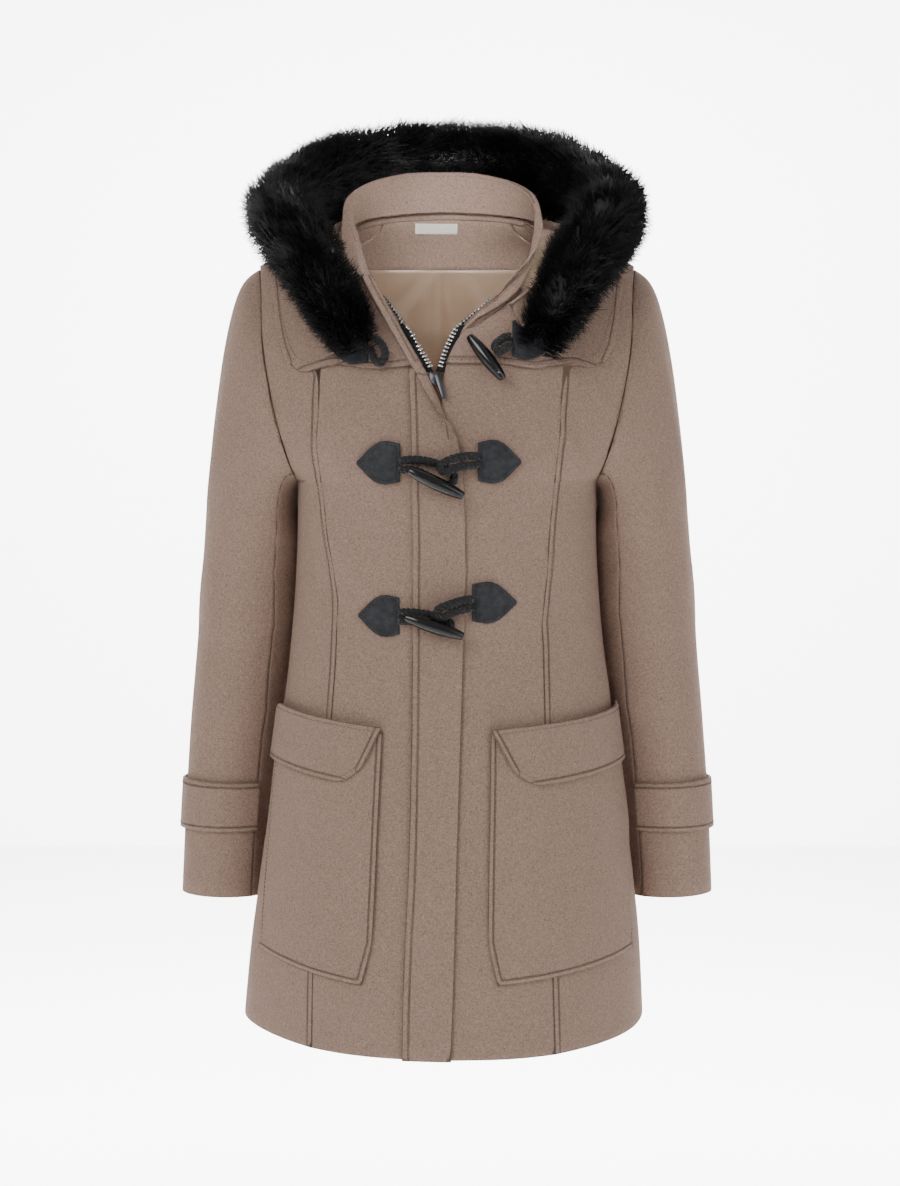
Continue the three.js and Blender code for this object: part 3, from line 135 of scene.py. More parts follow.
# Height, distance across and distance back of a sleeve's axis in mm, for the coat's left sleeve
SLEEVE_AXIS = [
    (-640, 232, 36), (-440, 215, 36), (-340, 206, 30), (-240, 199, 18), (-120, 190, 4), (0, 186, 0),
]

# Edges that turn by more than this many degrees are a cloth piece's rims, or a hard piece's
CLOTH_RIM = 55
HARD_RIM = 50

# A fold's section as a share of its half width, and the share of a half wave cut off at its ends
FOLD_SPREAD = 0.62
FOLD_END = 0.18

# How far one degree of bearing reaches round the body, a sleeve and the lining, in mm
BODY_GIRTH = 2.5
SLEEVE_GIRTH = 0.85
LINING_GIRTH = 2.0

# Rows and rims in mm: how close to the outermost edge a chosen one lies, the shortest level edge,
# how far its neighbours are looked for, and the distance stored where there is no row
SIDE_SLACK = 3
LEVEL_SLACK = 4
SHORTEST_LEVEL = 3.5
NEIGHBOUR_REACH = 14
FAR_AWAY = 50.0

# Middle lines of the cords in mm, from where each leaves its leather pad
CORDS = {
    "cord_loop_upper": [
        (-71.9, -106.5, -76.2), (-67.2, -112, -77.8), (-61.3, -116.8, -83.4),
        (-58.2, -119.9, -91.8), (-61.3, -120.8, -99.5), (-67.3, -118.9, -98.7),
        (-70.2, -114.7, -93), (-72, -110.6, -87.5),
    ],
    "cord_loop_middle": [
        (-43.8, -132.4, -193), (-30.5, -133.5, -191.9), (-16.2, -134.2, -193.8),
        (-4, -134.4, -197.9), (4, -134.5, -202.9), (7.1, -134.3, -209.5), (3, -133.9, -215.5),
        (-6.1, -134, -214.6), (-18.3, -134.2, -207.3), (-30.6, -133.6, -202),
        (-43.9, -132.3, -201.2),
    ],
    "cord_loop_lower": [
        (-45.3, -120.9, -337), (-30.8, -122.7, -337), (-16.3, -123.7, -339),
        (-6.1, -124, -341.9), (2, -124.1, -345.7), (4.1, -124.4, -351.5), (0, -124.8, -356.3),
        (-10.2, -124.5, -354.4), (-22.5, -123.6, -348.6), (-32.8, -122.6, -345.7),
        (-45.3, -121, -344.7),
    ],
    "cord_tie_upper": [
        (59.7, -107.4, -75.1), (54.8, -111.4, -76.1), (48.9, -115.7, -80.5),
        (45.4, -118.9, -84.2), (49.5, -120.7, -90.6), (54, -117.9, -87.9),
        (57.9, -114.2, -84.4), (59.7, -110.9, -84.3),
    ],
    "cord_tie_middle": [
        (28.9, -133.5, -188.8), (20.4, -136.9, -188.7), (8.1, -141.7, -190.6),
        (-2, -143.4, -194.6), (-6.6, -143.4, -200.8), (0, -143.5, -203.4),
        (8.2, -141.9, -199.8), (20.4, -137.1, -197.9), (29, -133.7, -196.9),
    ],
    "cord_tie_lower": [
        (23.5, -123.6, -324.2), (15.4, -127, -325.3), (4.1, -131.6, -328.4),
        (-6.2, -133, -332.3), (-10.4, -132.9, -338.1), (-3.6, -133, -340.9),
        (4.1, -131.5, -337.1), (15.4, -126.8, -334.1), (23.5, -123.4, -332.1),
    ],
}

# A rim edge is upright where it rises by more than this share of its run across
UPRIGHT = 0.8

# How much of a toggle's edges stays sharp, and a strand's own radius as a share of the turn's
TOGGLE_CREASE = 0.85
STRAND_FULLNESS = 1.06

# Rows: the closest that a row round a patch may come to its edge, as a share of its inset, and
# how far from the middle the rows are cast onto a front, a cuff and the back, in metres
LEAST_INSET = 0.94
CAST_FRONT = 0.4
CAST_CUFF = 0.12
CAST_BACK = 0.5

# Steps along the fur roll, a cord, the open zip and the collar's row
FUR_STEPS = 240
CORD_STEPS = 70
ZIP_STEPS = 60
COLLAR_STEPS = 200

# Half of the fur roll's middle line in mm, from its front end to the centre back, with its radius
FUR_LINE = [
    (92, -116, -73, 27), (105, -119, -49, 33), (117, -110, -24, 36), (134, -86, 4, 37.5),
    (151, -55, 28, 39), (160, -18, 49, 42), (157, 24, 65, 43), (136, 66, 83, 44),
    (104, 99, 104, 42), (54, 118, 118, 40), (0, 124, 121, 40),
]

# Stitch rows on the front, as distance across and height in mm, cast onto the cloth
FRONT_ROWS = [
    [(-36, -122), (-36, -150), (-33, -248), (-33, -385), (-34, -400), (-36, -570), (-44, -752)],
    [(-29, -122), (-29, -150), (-27, -248), (-27, -385), (-27.5, -400), (-29, -570), (-38, -752)],
]
CAPE_ROWS = {
    "left": [(-164, -36), (-157, -62), (-152, -80), (-145, -94), (-132, -99), (-118, -97),
             (-99, -93), (-73, -98), (-60, -99)],
    "right": [(163, -36), (157, -58), (149, -82), (142, -92), (124, -96), (104, -100),
              (79, -102), (52, -97), (1, -97)],
}
COLLAR_TOP = [
    (-64, -90, -38), (-90, -64, -9), (-99, -32, 19), (-99, 0, 42), (-97, 30, 66),
    (-74, 58, 86), (-40, 73, 96), (-6, 76, 97), (28, 73, 96), (60, 58, 87), (83, 30, 70),
    (89, 0, 47), (89, -32, 23), (76, -64, -5), (48, -90, -38),
]
TOOTH_LINES = {
    "left": [(-58, -37), (-43.5, -52), (-31.5, -69), (-21.5, -87), (-14.3, -106)],
    "right": [(40, -37), (28.2, -43), (16.2, -55), (7.6, -69), (-1, -87), (-7, -106)],
}


# Geometry of the frame

def mesh_tree(mesh):
    verts = [v.co.copy() for v in mesh.vertices]
    return BVHTree.FromPolygons(verts, [tuple(p.vertices) for p in mesh.polygons])


def cad_mesh(node):
    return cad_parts[node].data


def cast_front(tree, x, z):
    """The frontmost point of a piece at a distance across and a height in mm."""
    return tree.ray_cast(Vector((x * MM, -1, z * MM)), Vector((0, 1, 0)))[0]


def fold_lift(points, folds, axis, girth, mirror):
    """How far the folds lift points in mm, and the outward directions there."""
    dx, dy = points[:, 0] - axis[0], points[:, 1] - axis[1]
    bearing = np.degrees(np.arctan2(dx * mirror, -dy))
    lift = np.zeros(len(points))
    for (a0, z0), (a1, z1), half, depth in folds:
        u = ((bearing - a0 + 180) % 360 - 180) * girth
        v = points[:, 2] - z0
        across, along = (a1 - a0) * girth, z1 - z0
        share = np.clip((u * across + v * along) / (across ** 2 + along ** 2), 0, 1)
        distance = np.hypot(u - share * across, v - share * along)
        bell = np.exp(-0.5 * (distance / (FOLD_SPREAD * half)) ** 2)
        lift += depth * bell * np.sin(math.pi * (FOLD_END + (1 - 2 * FOLD_END) * share))
    outward = np.stack([dx, dy, np.zeros(len(points))], axis=1)
    outward /= np.maximum(np.linalg.norm(outward, axis=1, keepdims=True), 1e-6)
    return lift, outward


def unevenness(points):
    """The slight, slow unevenness of pressed wool, in mm."""
    x, y, z = points.T
    return (0.35 * np.sin(x / 23 + 0.7 * np.sin(z / 41)) * np.sin(z / 37 + y / 29)
            + 0.22 * np.sin(z / 17 + x / 31 + 1.3) * np.sin(y / 21 - z / 53))


def below(z, height, run):
    """0 above a height, growing to 1 over a run below it, all in mm."""
    return np.clip((height - z) / run, 0, 1)


def cloth_shift(points, node, depth):
    """The folded cloth's offsets from the CAD solid at points in mm."""
    z = points[:, 2]
    if node.startswith(ROUND_THE_SLEEVE):
        side = 1 if points[0, 0] > 0 else -1
        heights, across, back = zip(*SLEEVE_AXIS)
        axis = (side * np.interp(z, heights, across), np.interp(z, heights, back))
        lower = 0 if side > 0 else -RIGHT_SLEEVE_LOWER
        folds = [((bearing, height + lower), *rest)
                 for (bearing, height), *rest in SLEEVE_FOLDS]
        lift, outward = fold_lift(points, folds, axis, SLEEVE_GIRTH, side)
        lift *= below(z, -20, 90)
        lift += 0.5 * unevenness(points) * below(z, -60, 60)
        inward = np.clip(-side * outward[:, 0], 0, 1)
        lift += inward ** 2 * np.interp(z, *zip(*SLEEVE_EASE))
    elif node == "back_lining":
        lift, outward = fold_lift(points, LINING_FOLDS, (0, 0), LINING_GIRTH, 1)
    else:
        lift, outward = fold_lift(points, BODY_FOLDS, (0, 0), BODY_GIRTH, 1)
        lift *= below(z, -70, 60)
        lift += 0.6 * unevenness(points) * below(z, 10, 60)
        flank = outward[:, 0] ** 8 * below(z, -195, 60) * (1 - below(z, -530, 90))
        lift += FLANK_EASE * flank
    return outward * (lift * depth)[:, None]


# Building blocks

def only(obj):
    """Make obj the one selected and active object."""
    bpy.ops.object.select_all(action="DESELECT")
    obj.select_set(True)
    bpy.context.view_layer.objects.active = obj


def copy_of(node, name):
    """An editable copy of a CAD node, its doubled points merged."""
    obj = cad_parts[node].copy()
    obj.data = cad_mesh(node).copy()
    obj.name = name
    obj.data.name = name
    obj.parent = None
    obj.matrix_world = Matrix.Identity(4)
    obj.data.materials.clear()
    bpy.context.scene.collection.objects.link(obj)
    only(obj)
    bpy.ops.object.mode_set(mode="EDIT")
    bpy.ops.mesh.select_all(action="SELECT")
    bpy.ops.mesh.remove_doubles(threshold=1e-6)
    bpy.ops.mesh.customdata_custom_splitnormals_clear()
    bpy.ops.mesh.tris_convert_to_quads(face_threshold=0.7, shape_threshold=1.2)
    bpy.ops.object.mode_set(mode="OBJECT")
    return obj


def crease_rims(obj, degrees, crease):
    """Keep the edges that turn by more than this many degrees."""
    work = bmesh.new()
    work.from_mesh(obj.data)
    layer = work.edges.layers.float.get("crease_edge")
    if layer is None:
        layer = work.edges.layers.float.new("crease_edge")
    for edge in work.edges:
        if len(edge.link_faces) == 2 and edge.calc_face_angle(0) > math.radians(degrees):
            edge[layer] = crease
    work.to_mesh(obj.data)
    work.free()


def subdivide(obj, levels):
    only(obj)
    bpy.ops.object.modifier_add(type="SUBSURF")
    modifier = obj.modifiers[-1]
    modifier.levels = levels
    modifier.render_levels = levels
    bpy.ops.object.modifier_apply(modifier=modifier.name)
    bpy.ops.object.shade_smooth()


def finish_piece(obj, finish, slot, body, *nodes):
    """Give a piece its material and its body, and hide the CAD nodes that it stands for; slot is not
    used.
    """
    obj.data.materials.clear()
    obj.data.materials.append(finish)
    if nodes:
        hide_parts(*nodes)
    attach(obj, body)


def tree_of(name):
    return mesh_tree(bpy.data.objects[name].data)


def joined(objs, name):
    bpy.ops.object.select_all(action="DESELECT")
    for obj in objs:
        obj.select_set(True)
    bpy.context.view_layer.objects.active = objs[0]
    if len(objs) > 1:
        bpy.ops.object.join()
    result = bpy.context.view_layer.objects.active
    result.name = name
    result.data.name = name
    bpy.ops.object.transform_apply(location=True, rotation=True, scale=True)
    return result


def reach_along(flat):
    """How far along a polyline each of its points lies."""
    steps = np.linalg.norm(np.diff(flat, axis=0), axis=1)
    return np.concatenate([[0], np.cumsum(steps)])


def spread_along(flat, at):
    """Points of a polyline in metres at distances along it."""
    reach = reach_along(flat)
    return [Vector([np.interp(s, reach, flat[:, k]) for k in range(3)]) for s in at]


def line_curve(points, name):
    """A straight-sided curve through points in metres."""
    data = bpy.data.curves.new(name, "CURVE")
    data.dimensions = "3D"
    spline = data.splines.new("POLY")
    spline.points.add(len(points) - 1)
    for slot, point in zip(spline.points, points):
        slot.co = (*point, 1)
    obj = bpy.data.objects.new(name, data)
    bpy.context.scene.collection.objects.link(obj)
    return obj


def smooth_path(points, steps):
    """Points evenly along a smooth line through the given ones."""
    given = [Vector(p) for p in points]
    ends = [given[0] * 2 - given[1], *given, given[-1] * 2 - given[-2]]
    line = []
    for i in range(1, len(ends) - 2):
        a, b, c, d = ends[i - 1:i + 3]
        for t in np.arange(12) / 12:
            line.append(0.5 * (2 * b + (c - a) * t + (2 * a - 5 * b + 4 * c - d) * t * t
                               + (3 * b - a - 3 * c + d) * t ** 3))
    line.append(given[-1])
    flat = np.array([list(p) for p in line])
    return spread_along(flat, np.linspace(0, reach_along(flat)[-1], steps + 1))


def tube(points, radius, name):
    """A closed round tube along points in metres."""
    obj = line_curve(points, name)
    obj.data.bevel_depth = radius
    obj.data.bevel_resolution = 1
    obj.data.use_fill_caps = True
    only(obj)
    bpy.ops.object.convert(target="MESH")
    obj = bpy.context.view_layer.objects.active
    bpy.ops.object.mode_set(mode="EDIT")
    bpy.ops.mesh.select_all(action="SELECT")
    bpy.ops.mesh.remove_doubles(threshold=1e-6)
    bpy.ops.mesh.normals_make_consistent(inside=False)
    bpy.ops.object.mode_set(mode="OBJECT")
    bpy.ops.object.shade_smooth()
    return obj


def resampled(points, pitch):
    """Points a fixed pitch apart along a polyline in metres."""
    flat = np.array([list(p) for p in points])
    length = reach_along(flat)[-1]
    count = max(2, int(length / pitch))
    return spread_along(flat, np.linspace(0, length, count + 1))


# How high a stitch's middle lies above the cloth, as a share of its thickness
STITCH_RISE = 0.4


def stitch_row(points, tree, settings, name):
    """A row of thread stitches laid on the surface along points in metres."""
    laid = []
    for point in resampled(points, 3 * MM):
        spot, normal, _, _ = tree.find_nearest(point)
        laid.append(spot + normal * (settings.thread * STITCH_RISE))
    curve = line_curve(laid, name + "_line")
    bpy.ops.object.select_all(action="DESELECT")
    bpy.ops.mesh.primitive_uv_sphere_add(segments=6, ring_count=4, radius=0.5)
    stitch = bpy.context.view_layer.objects.active
    stitch.name = name
    length = settings.stitch_length
    bpy.ops.transform.resize(value=(length, settings.thread, settings.thread))
    bpy.ops.object.transform_apply(location=False, rotation=False, scale=True)
    bpy.ops.object.modifier_add(type="ARRAY")
    array = stitch.modifiers[-1]
    array.fit_type = "FIT_CURVE"
    array.curve = curve
    array.use_relative_offset = False
    array.use_constant_offset = True
    array.constant_offset_displace = (length + settings.stitch_gap, 0, 0)
    bpy.ops.object.modifier_add(type="CURVE")
    stitch.modifiers[-1].object = curve
    bpy.ops.object.convert(target="MESH")
    stitch = bpy.context.view_layer.objects.active
    bpy.data.objects.remove(curve, do_unlink=True)
    bpy.ops.object.shade_smooth()
    return stitch


# Materials

WOOL = (157, 132, 118)


def linear(colour):
    """An sRGB colour of 0 to 255 as linear RGBA."""
    parts = [c / 255 for c in colour]
    return [p / 12.92 if p <= 0.04045 else ((p + 0.055) / 1.055) ** 2.4 for p in parts] + [1]


class Shader:
    """A principled material whose patterns follow the object's own coordinates."""

    def __init__(self, name, colour, roughness, **values):
        self.material = bpy.data.materials.new("coat_" + name)
        self.material.use_nodes = True
        self.material.diffuse_color = linear(colour)
        self.tree = self.material.node_tree
        self.surface = self.tree.nodes["Principled BSDF"]
        self.place = self.tree.nodes.new("ShaderNodeTexCoord").outputs["Object"]
        self.surface.inputs["Base Color"].default_value = linear(colour)
        self.surface.inputs["Roughness"].default_value = roughness
        for socket, value in values.items():
            self.surface.inputs[socket.replace("_", " ")].default_value = value

    def noise(self, scale, detail=3.0, stretch=None):
        node = self.tree.nodes.new("ShaderNodeTexNoise")
        node.inputs["Scale"].default_value = scale
        node.inputs["Detail"].default_value = detail
        place = self.place
        if stretch:
            mapping = self.tree.nodes.new("ShaderNodeMapping")
            mapping.inputs["Scale"].default_value = stretch
            self.tree.links.new(place, mapping.inputs["Vector"])
            place = mapping.outputs["Vector"]
        self.tree.links.new(place, node.inputs["Vector"])
        return node.outputs["Fac"]

    def cells(self, scale):
        node = self.tree.nodes.new("ShaderNodeTexVoronoi")
        node.inputs["Scale"].default_value = scale
        self.tree.links.new(self.place, node.inputs["Vector"])
        return node.outputs["Distance"]

    def ramp(self, value, stops):
        node = self.tree.nodes.new("ShaderNodeValToRGB")
        stops = sorted(stops)
        while len(node.color_ramp.elements) < len(stops):
            node.color_ramp.elements.new(0.5)
        for element, (position, colour) in zip(node.color_ramp.elements, stops):
            element.position = position
            element.color = linear(colour)
        self.tree.links.new(value, node.inputs["Fac"])
        return node.outputs["Color"]

    def mix(self, share, first, second):
        node = self.tree.nodes.new("ShaderNodeMix")
        node.data_type = "RGBA"
        sockets = {socket.identifier: socket for socket in (*node.inputs, *node.outputs)}
        self.tree.links.new(share, sockets["Factor_Float"])
        self.tree.links.new(first, sockets["A_Color"])
        self.tree.links.new(second, sockets["B_Color"])
        return sockets["Result_Color"]

    def close_to(self, name, reach, most):
        """As much as most where the stored distance is 0, falling to 0 at reach, in mm."""
        stored = self.tree.nodes.new("ShaderNodeAttribute")
        stored.attribute_name = name
        away = self.tree.nodes.new("ShaderNodeMath")
        away.operation = "ABSOLUTE"
        curve = self.tree.nodes.new("ShaderNodeMapRange")
        curve.interpolation_type = "SMOOTHSTEP"
        self.tree.links.new(stored.outputs["Fac"], away.inputs[0])
        self.tree.links.new(away.outputs["Value"], curve.inputs["Value"])
        for socket, value in (("From Max", reach), ("To Min", most), ("To Max", 0.0)):
            curve.inputs[socket].default_value = value
        return curve.outputs["Result"]

    def colour(self, output):
        self.tree.links.new(output, self.surface.inputs["Base Color"])

    def bump(self, value, distance, strength=1.0):
        node = self.tree.nodes.new("ShaderNodeBump")
        node.inputs["Distance"].default_value = distance
        node.inputs["Strength"].default_value = strength
        self.tree.links.new(value, node.inputs["Height"])
        normal = self.surface.inputs["Normal"]
        if normal.is_linked:
            self.tree.links.new(normal.links[0].from_socket, node.inputs["Normal"])
        self.tree.links.new(node.outputs["Normal"], normal)


def toned(colour, factor):
    return tuple(c * factor for c in colour)


def wool_material():
    """Heathered melton: pale and dark fibres in a felted cloth, pressed in at seams and rows, with
    painted shade darkening it beside its rims and along its rows.
    """
    wool = Shader("wool", WOOL, 0.95, Sheen_Weight=0.04, Specular_IOR_Level=0.12)
    fibres = wool.ramp(wool.noise(950, 3), [
        (0.30, toned(WOOL, 0.72)), (0.46, toned(WOOL, 0.95)), (0.60, toned(WOOL, 1.08)),
        (0.74, toned(WOOL, 1.34)),
    ])
    felted = wool.ramp(wool.noise(480, 3), [(0.32, toned(WOOL, 0.86)), (0.68, toned(WOOL, 1.13))])
    cloth = wool.mix(wool.noise(330, 2), fibres, felted)
    # Painted shade: a darker copy of the wool, mixed in beside each piece's rims and in its pressed-in
    # rows
    dark = wool.ramp(wool.noise(560, 2), [(0.3, toned(WOOL, 0.42)), (0.7, toned(WOOL, 0.58))])
    row, rim = wool.close_to("row_gap", 1.5, 0.45), wool.close_to("rim_gap", 1.3, 0.85)
    wool.colour(wool.mix(rim, wool.mix(row, cloth, dark), dark))
    wool.bump(wool.noise(900, 4), 0.0004, 0.7)
    wool.bump(wool.noise(260, 3), 0.0005, 0.4)
    wool.bump(row, -0.0022, 1.0)
    return wool.material


# Colour, roughness and other values of a surface, the noise of its colour as scale, detail and
# stretch with its stops, and its bumps as a noise, or a scale of cells, with height and strength
THREAD_GRAIN = (1500, 1)
SURFACES = {
    "satin": ((165, 139, 116), 0.36, {"Sheen_Weight": 0.1, "Anisotropic": 0.4},
              (14, 2), [(0.3, (159, 133, 110)), (0.7, (172, 146, 123))],
              [((500, 2, (1, 1, 0.08)), 0.00015, 0.4), ((26, 2), 0.0016, 0.5)]),
    "leather": ((46, 47, 50), 0.55, {"Specular_IOR_Level": 0.35},
                (180, 3), [(0.3, (38, 39, 43)), (0.7, (57, 58, 62))],
                [((620,), 0.00035, 0.8), ((90, 3), 0.0006, 0.4)]),
    "cord": ((15, 15, 17), 0.62, {"Sheen_Weight": 0.15},
             (900, 2), [(0.3, (9, 9, 11)), (0.7, (26, 26, 29))],
             [((1500, 2), 0.0002, 0.6)]),
    "horn": ((11, 11, 12), 0.13, {"Coat_Weight": 0.5, "Coat_Roughness": 0.06},
             (90, 4, (1, 1, 0.25)), [(0.4, (8, 8, 9)), (0.75, (24, 22, 21))],
             [((140, 2), 0.0002, 0.2)]),
    "metal": ((205, 205, 203), 0.24, {"Metallic": 1.0}, (), (), [((700, 2), 0.00005, 0.3)]),
    "steel": ((92, 92, 95), 0.3, {"Metallic": 1.0}, (), (), [((700, 2), 0.00005, 0.3)]),
    "zip_tape": ((17, 17, 19), 0.85, {},
                 (900, 2), [(0.35, (11, 11, 13)), (0.65, (25, 25, 28))],
                 [((1100, 2, (1, 1, 3)), 0.0002, 0.6)]),
    "label": ((231, 227, 215), 0.6, {},
              (900, 2), [(0.35, (224, 219, 206)), (0.65, (237, 234, 224))],
              [((1200, 2, (0.4, 1, 3)), 0.00012, 0.5)]),
    "fur": ((8, 8, 9), 0.5, {"Specular_IOR_Level": 0.3},
            (70, 3), [(0.35, (4, 4, 5)), (0.72, (15, 15, 16))], ()),
    "wool_thread": (toned(WOOL, 0.8), 0.6, {},
                    THREAD_GRAIN, [(0.35, (106, 89, 80)), (0.65, toned(WOOL, 0.8))], ()),
    "leather_thread": ((24, 25, 27), 0.6, {},
                       THREAD_GRAIN, [(0.35, (20, 21, 22)), (0.65, (24, 25, 27))], ()),
}


def surface_material(name):
    colour, roughness, values, grain, stops, bumps = SURFACES[name]
    surface = Shader(name, colour, roughness, **values)
    if stops:
        surface.colour(surface.ramp(surface.noise(*grain), stops))
    for pattern, height, strength in bumps:
        value = surface.noise(*pattern) if len(pattern) > 1 else surface.cells(*pattern)
        surface.bump(value, height, strength)
    return surface.material


@functools.cache
def material(name):
    """The material of that name, made once."""
    return wool_material() if name == "wool" else surface_material(name)


# Settings

def length_setting(name, description, default):
    return bpy.props.FloatProperty(
        name=name, description=description, default=default, unit="LENGTH", subtype="DISTANCE")


def power_setting(name, description, default):
    return bpy.props.FloatProperty(
        name=name, description=description, default=default, unit="POWER", subtype="NONE")


class CoatCloth(bpy.types.PropertyGroup):
    fold_depth: bpy.props.FloatProperty(
        name="Fold depth", description="How deep the folds are, 1 for the photo's", default=1.0)
    panel_levels: bpy.props.IntProperty(
        name="Panel levels", description="Subdivision of the large panels", default=3)
    small_levels: bpy.props.IntProperty(
        name="Small levels", description="Subdivision of the smaller pieces", default=2)
    edge_round: length_setting("Edge rounding", "Rounding of the cut edges", 0.0006)


class CoatThread(bpy.types.PropertyGroup):
    stitch_length: length_setting("Stitch length", "Length of one stitch", 0.0032)
    stitch_gap: length_setting("Stitch gap", "Gap between stitches", 0.0009)
    thread: length_setting("Thread", "Thickness of the thread", 0.0007)
    inset: length_setting("Inset", "Distance of a row from its edge or seam", 0.0058)


class CoatFur(bpy.types.PropertyGroup):
    locks: bpy.props.IntProperty(
        name="Locks", description="Number of locks of hair", default=1580)
    hairs: bpy.props.IntProperty(
        name="Hairs", description="Hairs in one lock", default=25)
    depth: length_setting(
        "Root depth", "How deep the roots lie below the fur's outline", 0.017)
    width: length_setting("Hair width", "Width of a hair at its root", 0.0012)
    seed: bpy.props.IntProperty(name="Seed", description="Seed of the hairs' places", default=11)


class CoatCord(bpy.types.PropertyGroup):
    strand: length_setting("Strand", "Radius of one of the three strands", 0.0021)
    pitch: length_setting("Pitch", "Length of one full twist", 0.014)


class CoatZip(bpy.types.PropertyGroup):
    pitch: length_setting("Pitch", "Distance from tooth to tooth", 0.0039)
    tooth: bpy.props.FloatVectorProperty(
        name="Tooth", description="Length, width and thickness of a tooth", size=3,
        default=(0.0054, 0.0024, 0.0027), unit="LENGTH", subtype="XYZ")


class CoatStage(bpy.types.PropertyGroup):
    floor: length_setting("Floor", "Depth of the floor below the shoulders", 1.38)
    key: power_setting("Key light", "Power of the main soft light", 24.0)
    fill: power_setting(
        "Fill light", "Power of the soft light from the other side", 9.0)
    back: power_setting("Backdrop light", "Power of the light on the backdrop", 900.0)
    sky: bpy.props.FloatProperty(
        name="Surround", description="Strength of the light from all round", default=0.3)


# Cloth

def cloth(node, levels):
    """A CAD cloth piece as soft, folded cloth of the same cut."""
    values = bpy.context.scene.coat_cloth
    obj = copy_of(node, "cloth_" + node)
    crease_rims(obj, CLOTH_RIM, 1.0)
    subdivide(obj, levels)
    round_rims(obj, CLOTH_RIM, values.edge_round)
    mark_rows(obj, node)
    co = np.empty(len(obj.data.vertices) * 3)
    obj.data.vertices.foreach_get("co", co)
    points = co.reshape(-1, 3)
    points += cloth_shift(points / MM, node, values.fold_depth) * MM
    obj.data.vertices.foreach_set("co", points.ravel())
    obj.data.update()
    slot = "label" if node == "neck_label" else "satin" if node in SATIN else "wool"
    finish_piece(obj, material(slot), slot, "coat", node)


def mark_rows(obj, node):
    """Store each point's distance from its piece's rims and past its topstitched row, in mm."""
    edges, inset = ROWS.get(node, ((), 0))
    # rim_gap places the painted shade beside the rims; row_gap places the pressed-in row and the
    # painted shade along it
    for name, rims, beyond in (("rim_gap", rim_segments(node), 0),
                               ("row_gap", chosen_rims(node, edges), inset)):
        values = np.full(len(obj.data.vertices), FAR_AWAY, np.float32)
        spots = [Vector(a).lerp(Vector(b), t / 8) for a, b in rims for t in range(9)]
        if spots:
            near = KDTree(len(spots))
            for i, spot in enumerate(spots):
                near.insert(spot * MM, i)
            near.balance()
            values[:] = [near.find(v.co)[2] / MM - beyond for v in obj.data.vertices]
        attribute = obj.data.attributes.new(name, "FLOAT", "POINT")
        attribute.data.foreach_set("value", values)


def chosen_rims(node, edges):
    """The rim edges on the named sides of a piece: left, right, top or bottom."""
    rims = rim_segments(node)
    chosen = []
    for a, b in rims:
        middle = [(p + q) / 2 for p, q in zip(a, b)]
        upright = abs(b[2] - a[2]) > UPRIGHT * math.hypot(b[0] - a[0], b[1] - a[1])
        if upright:
            level = crossings_at(rims, middle[2]) or [middle[0]]
            if "left" in edges and middle[0] <= min(level) + SIDE_SLACK:
                chosen.append((a, b))
            if "right" in edges and middle[0] >= max(level) - SIDE_SLACK:
                chosen.append((a, b))
        elif math.dist(a, b) > SHORTEST_LEVEL:
            heights = [q[2] for pair in rims for q in pair
                       if math.dist(q[:2], middle[:2]) < NEIGHBOUR_REACH] or [middle[2]]
            if "top" in edges and middle[2] >= max(heights) - LEVEL_SLACK:
                chosen.append((a, b))
            if "bottom" in edges and middle[2] <= min(heights) + LEVEL_SLACK:
                chosen.append((a, b))
    return chosen


def crossings_at(rims, z):
    """Where the upright rims of a piece cross a height, in mm across."""
    return [x0 + (x1 - x0) * (z - z0) / (z1 - z0) for (x0, _, z0), (x1, _, z1) in rims
            if min(z0, z1) <= z <= max(z0, z1) and abs(z1 - z0) > 2]


def round_rims(obj, degrees, width, segments=1):
    """Round the edges that turn by more than this many degrees."""
    only(obj)
    bpy.ops.object.mode_set(mode="EDIT")
    bpy.ops.mesh.select_mode(type="EDGE")
    bpy.ops.mesh.select_all(action="DESELECT")
    bpy.ops.mesh.edges_select_sharp(sharpness=math.radians(degrees))
    bpy.ops.mesh.bevel(offset=width, segments=segments, affect="EDGES", clamp_overlap=True)
    bpy.ops.object.mode_set(mode="OBJECT")
    bpy.ops.object.shade_smooth()


def sides(prefix):
    return [prefix + "_left", prefix + "_right"]


PANELS = [*sides("front_centre"), *sides("front_side"), *sides("back"), *sides("back_side")]


class ClothStep:
    """Makes the cloth pieces that a step names, the fine ones first."""
    fine = ()
    plain = ()

    def execute(self, context):
        values = context.scene.coat_cloth
        for node in self.fine:
            cloth(node, values.panel_levels)
        for node in self.plain:
            cloth(node, values.small_levels)
        return {"FINISHED"}


class COAT_OT_panels(ClothStep, bpy.types.Operator):
    """Front, back and yoke panels and the placket"""
    bl_idname = "coat.panels"
    bl_label = "Panels"
    fine = PANELS
    plain = ["yoke_back", *sides("yoke_front"), "placket"]


class COAT_OT_pockets(ClothStep, bpy.types.Operator):
    """Patch pockets and their flaps"""
    bl_idname = "coat.pockets"
    bl_label = "Pockets"
    fine = [*sides("pocket"), *sides("pocket_flap")]


class COAT_OT_sleeves(ClothStep, bpy.types.Operator):
    """Two-piece sleeves and their cuff bands"""
    bl_idname = "coat.sleeves"
    bl_label = "Sleeves"
    plain = [*sides("sleeve_top"), *sides("sleeve_under"), *sides("cuff_band")]


class COAT_OT_neck(ClothStep, bpy.types.Operator):
    """Stand collar, neck facing, lining and the bare label"""
    bl_idname = "coat.neck"
    bl_label = "Neck"
    fine = ["collar", "back_lining"]
    plain = ["neck_facing", "neck_label"]


class COAT_OT_hood(ClothStep, bpy.types.Operator):
    """Hood shell and its satin lining"""
    bl_idname = "coat.hood"
    bl_label = "Hood"
    plain = ["hood_shell", "hood_lining"]


# Fur

# How far past the roll's ends the hair grows, as a share of its length, and its length in metres
FUR_PAST_END = 0.008
ROLL_LENGTH = 0.87

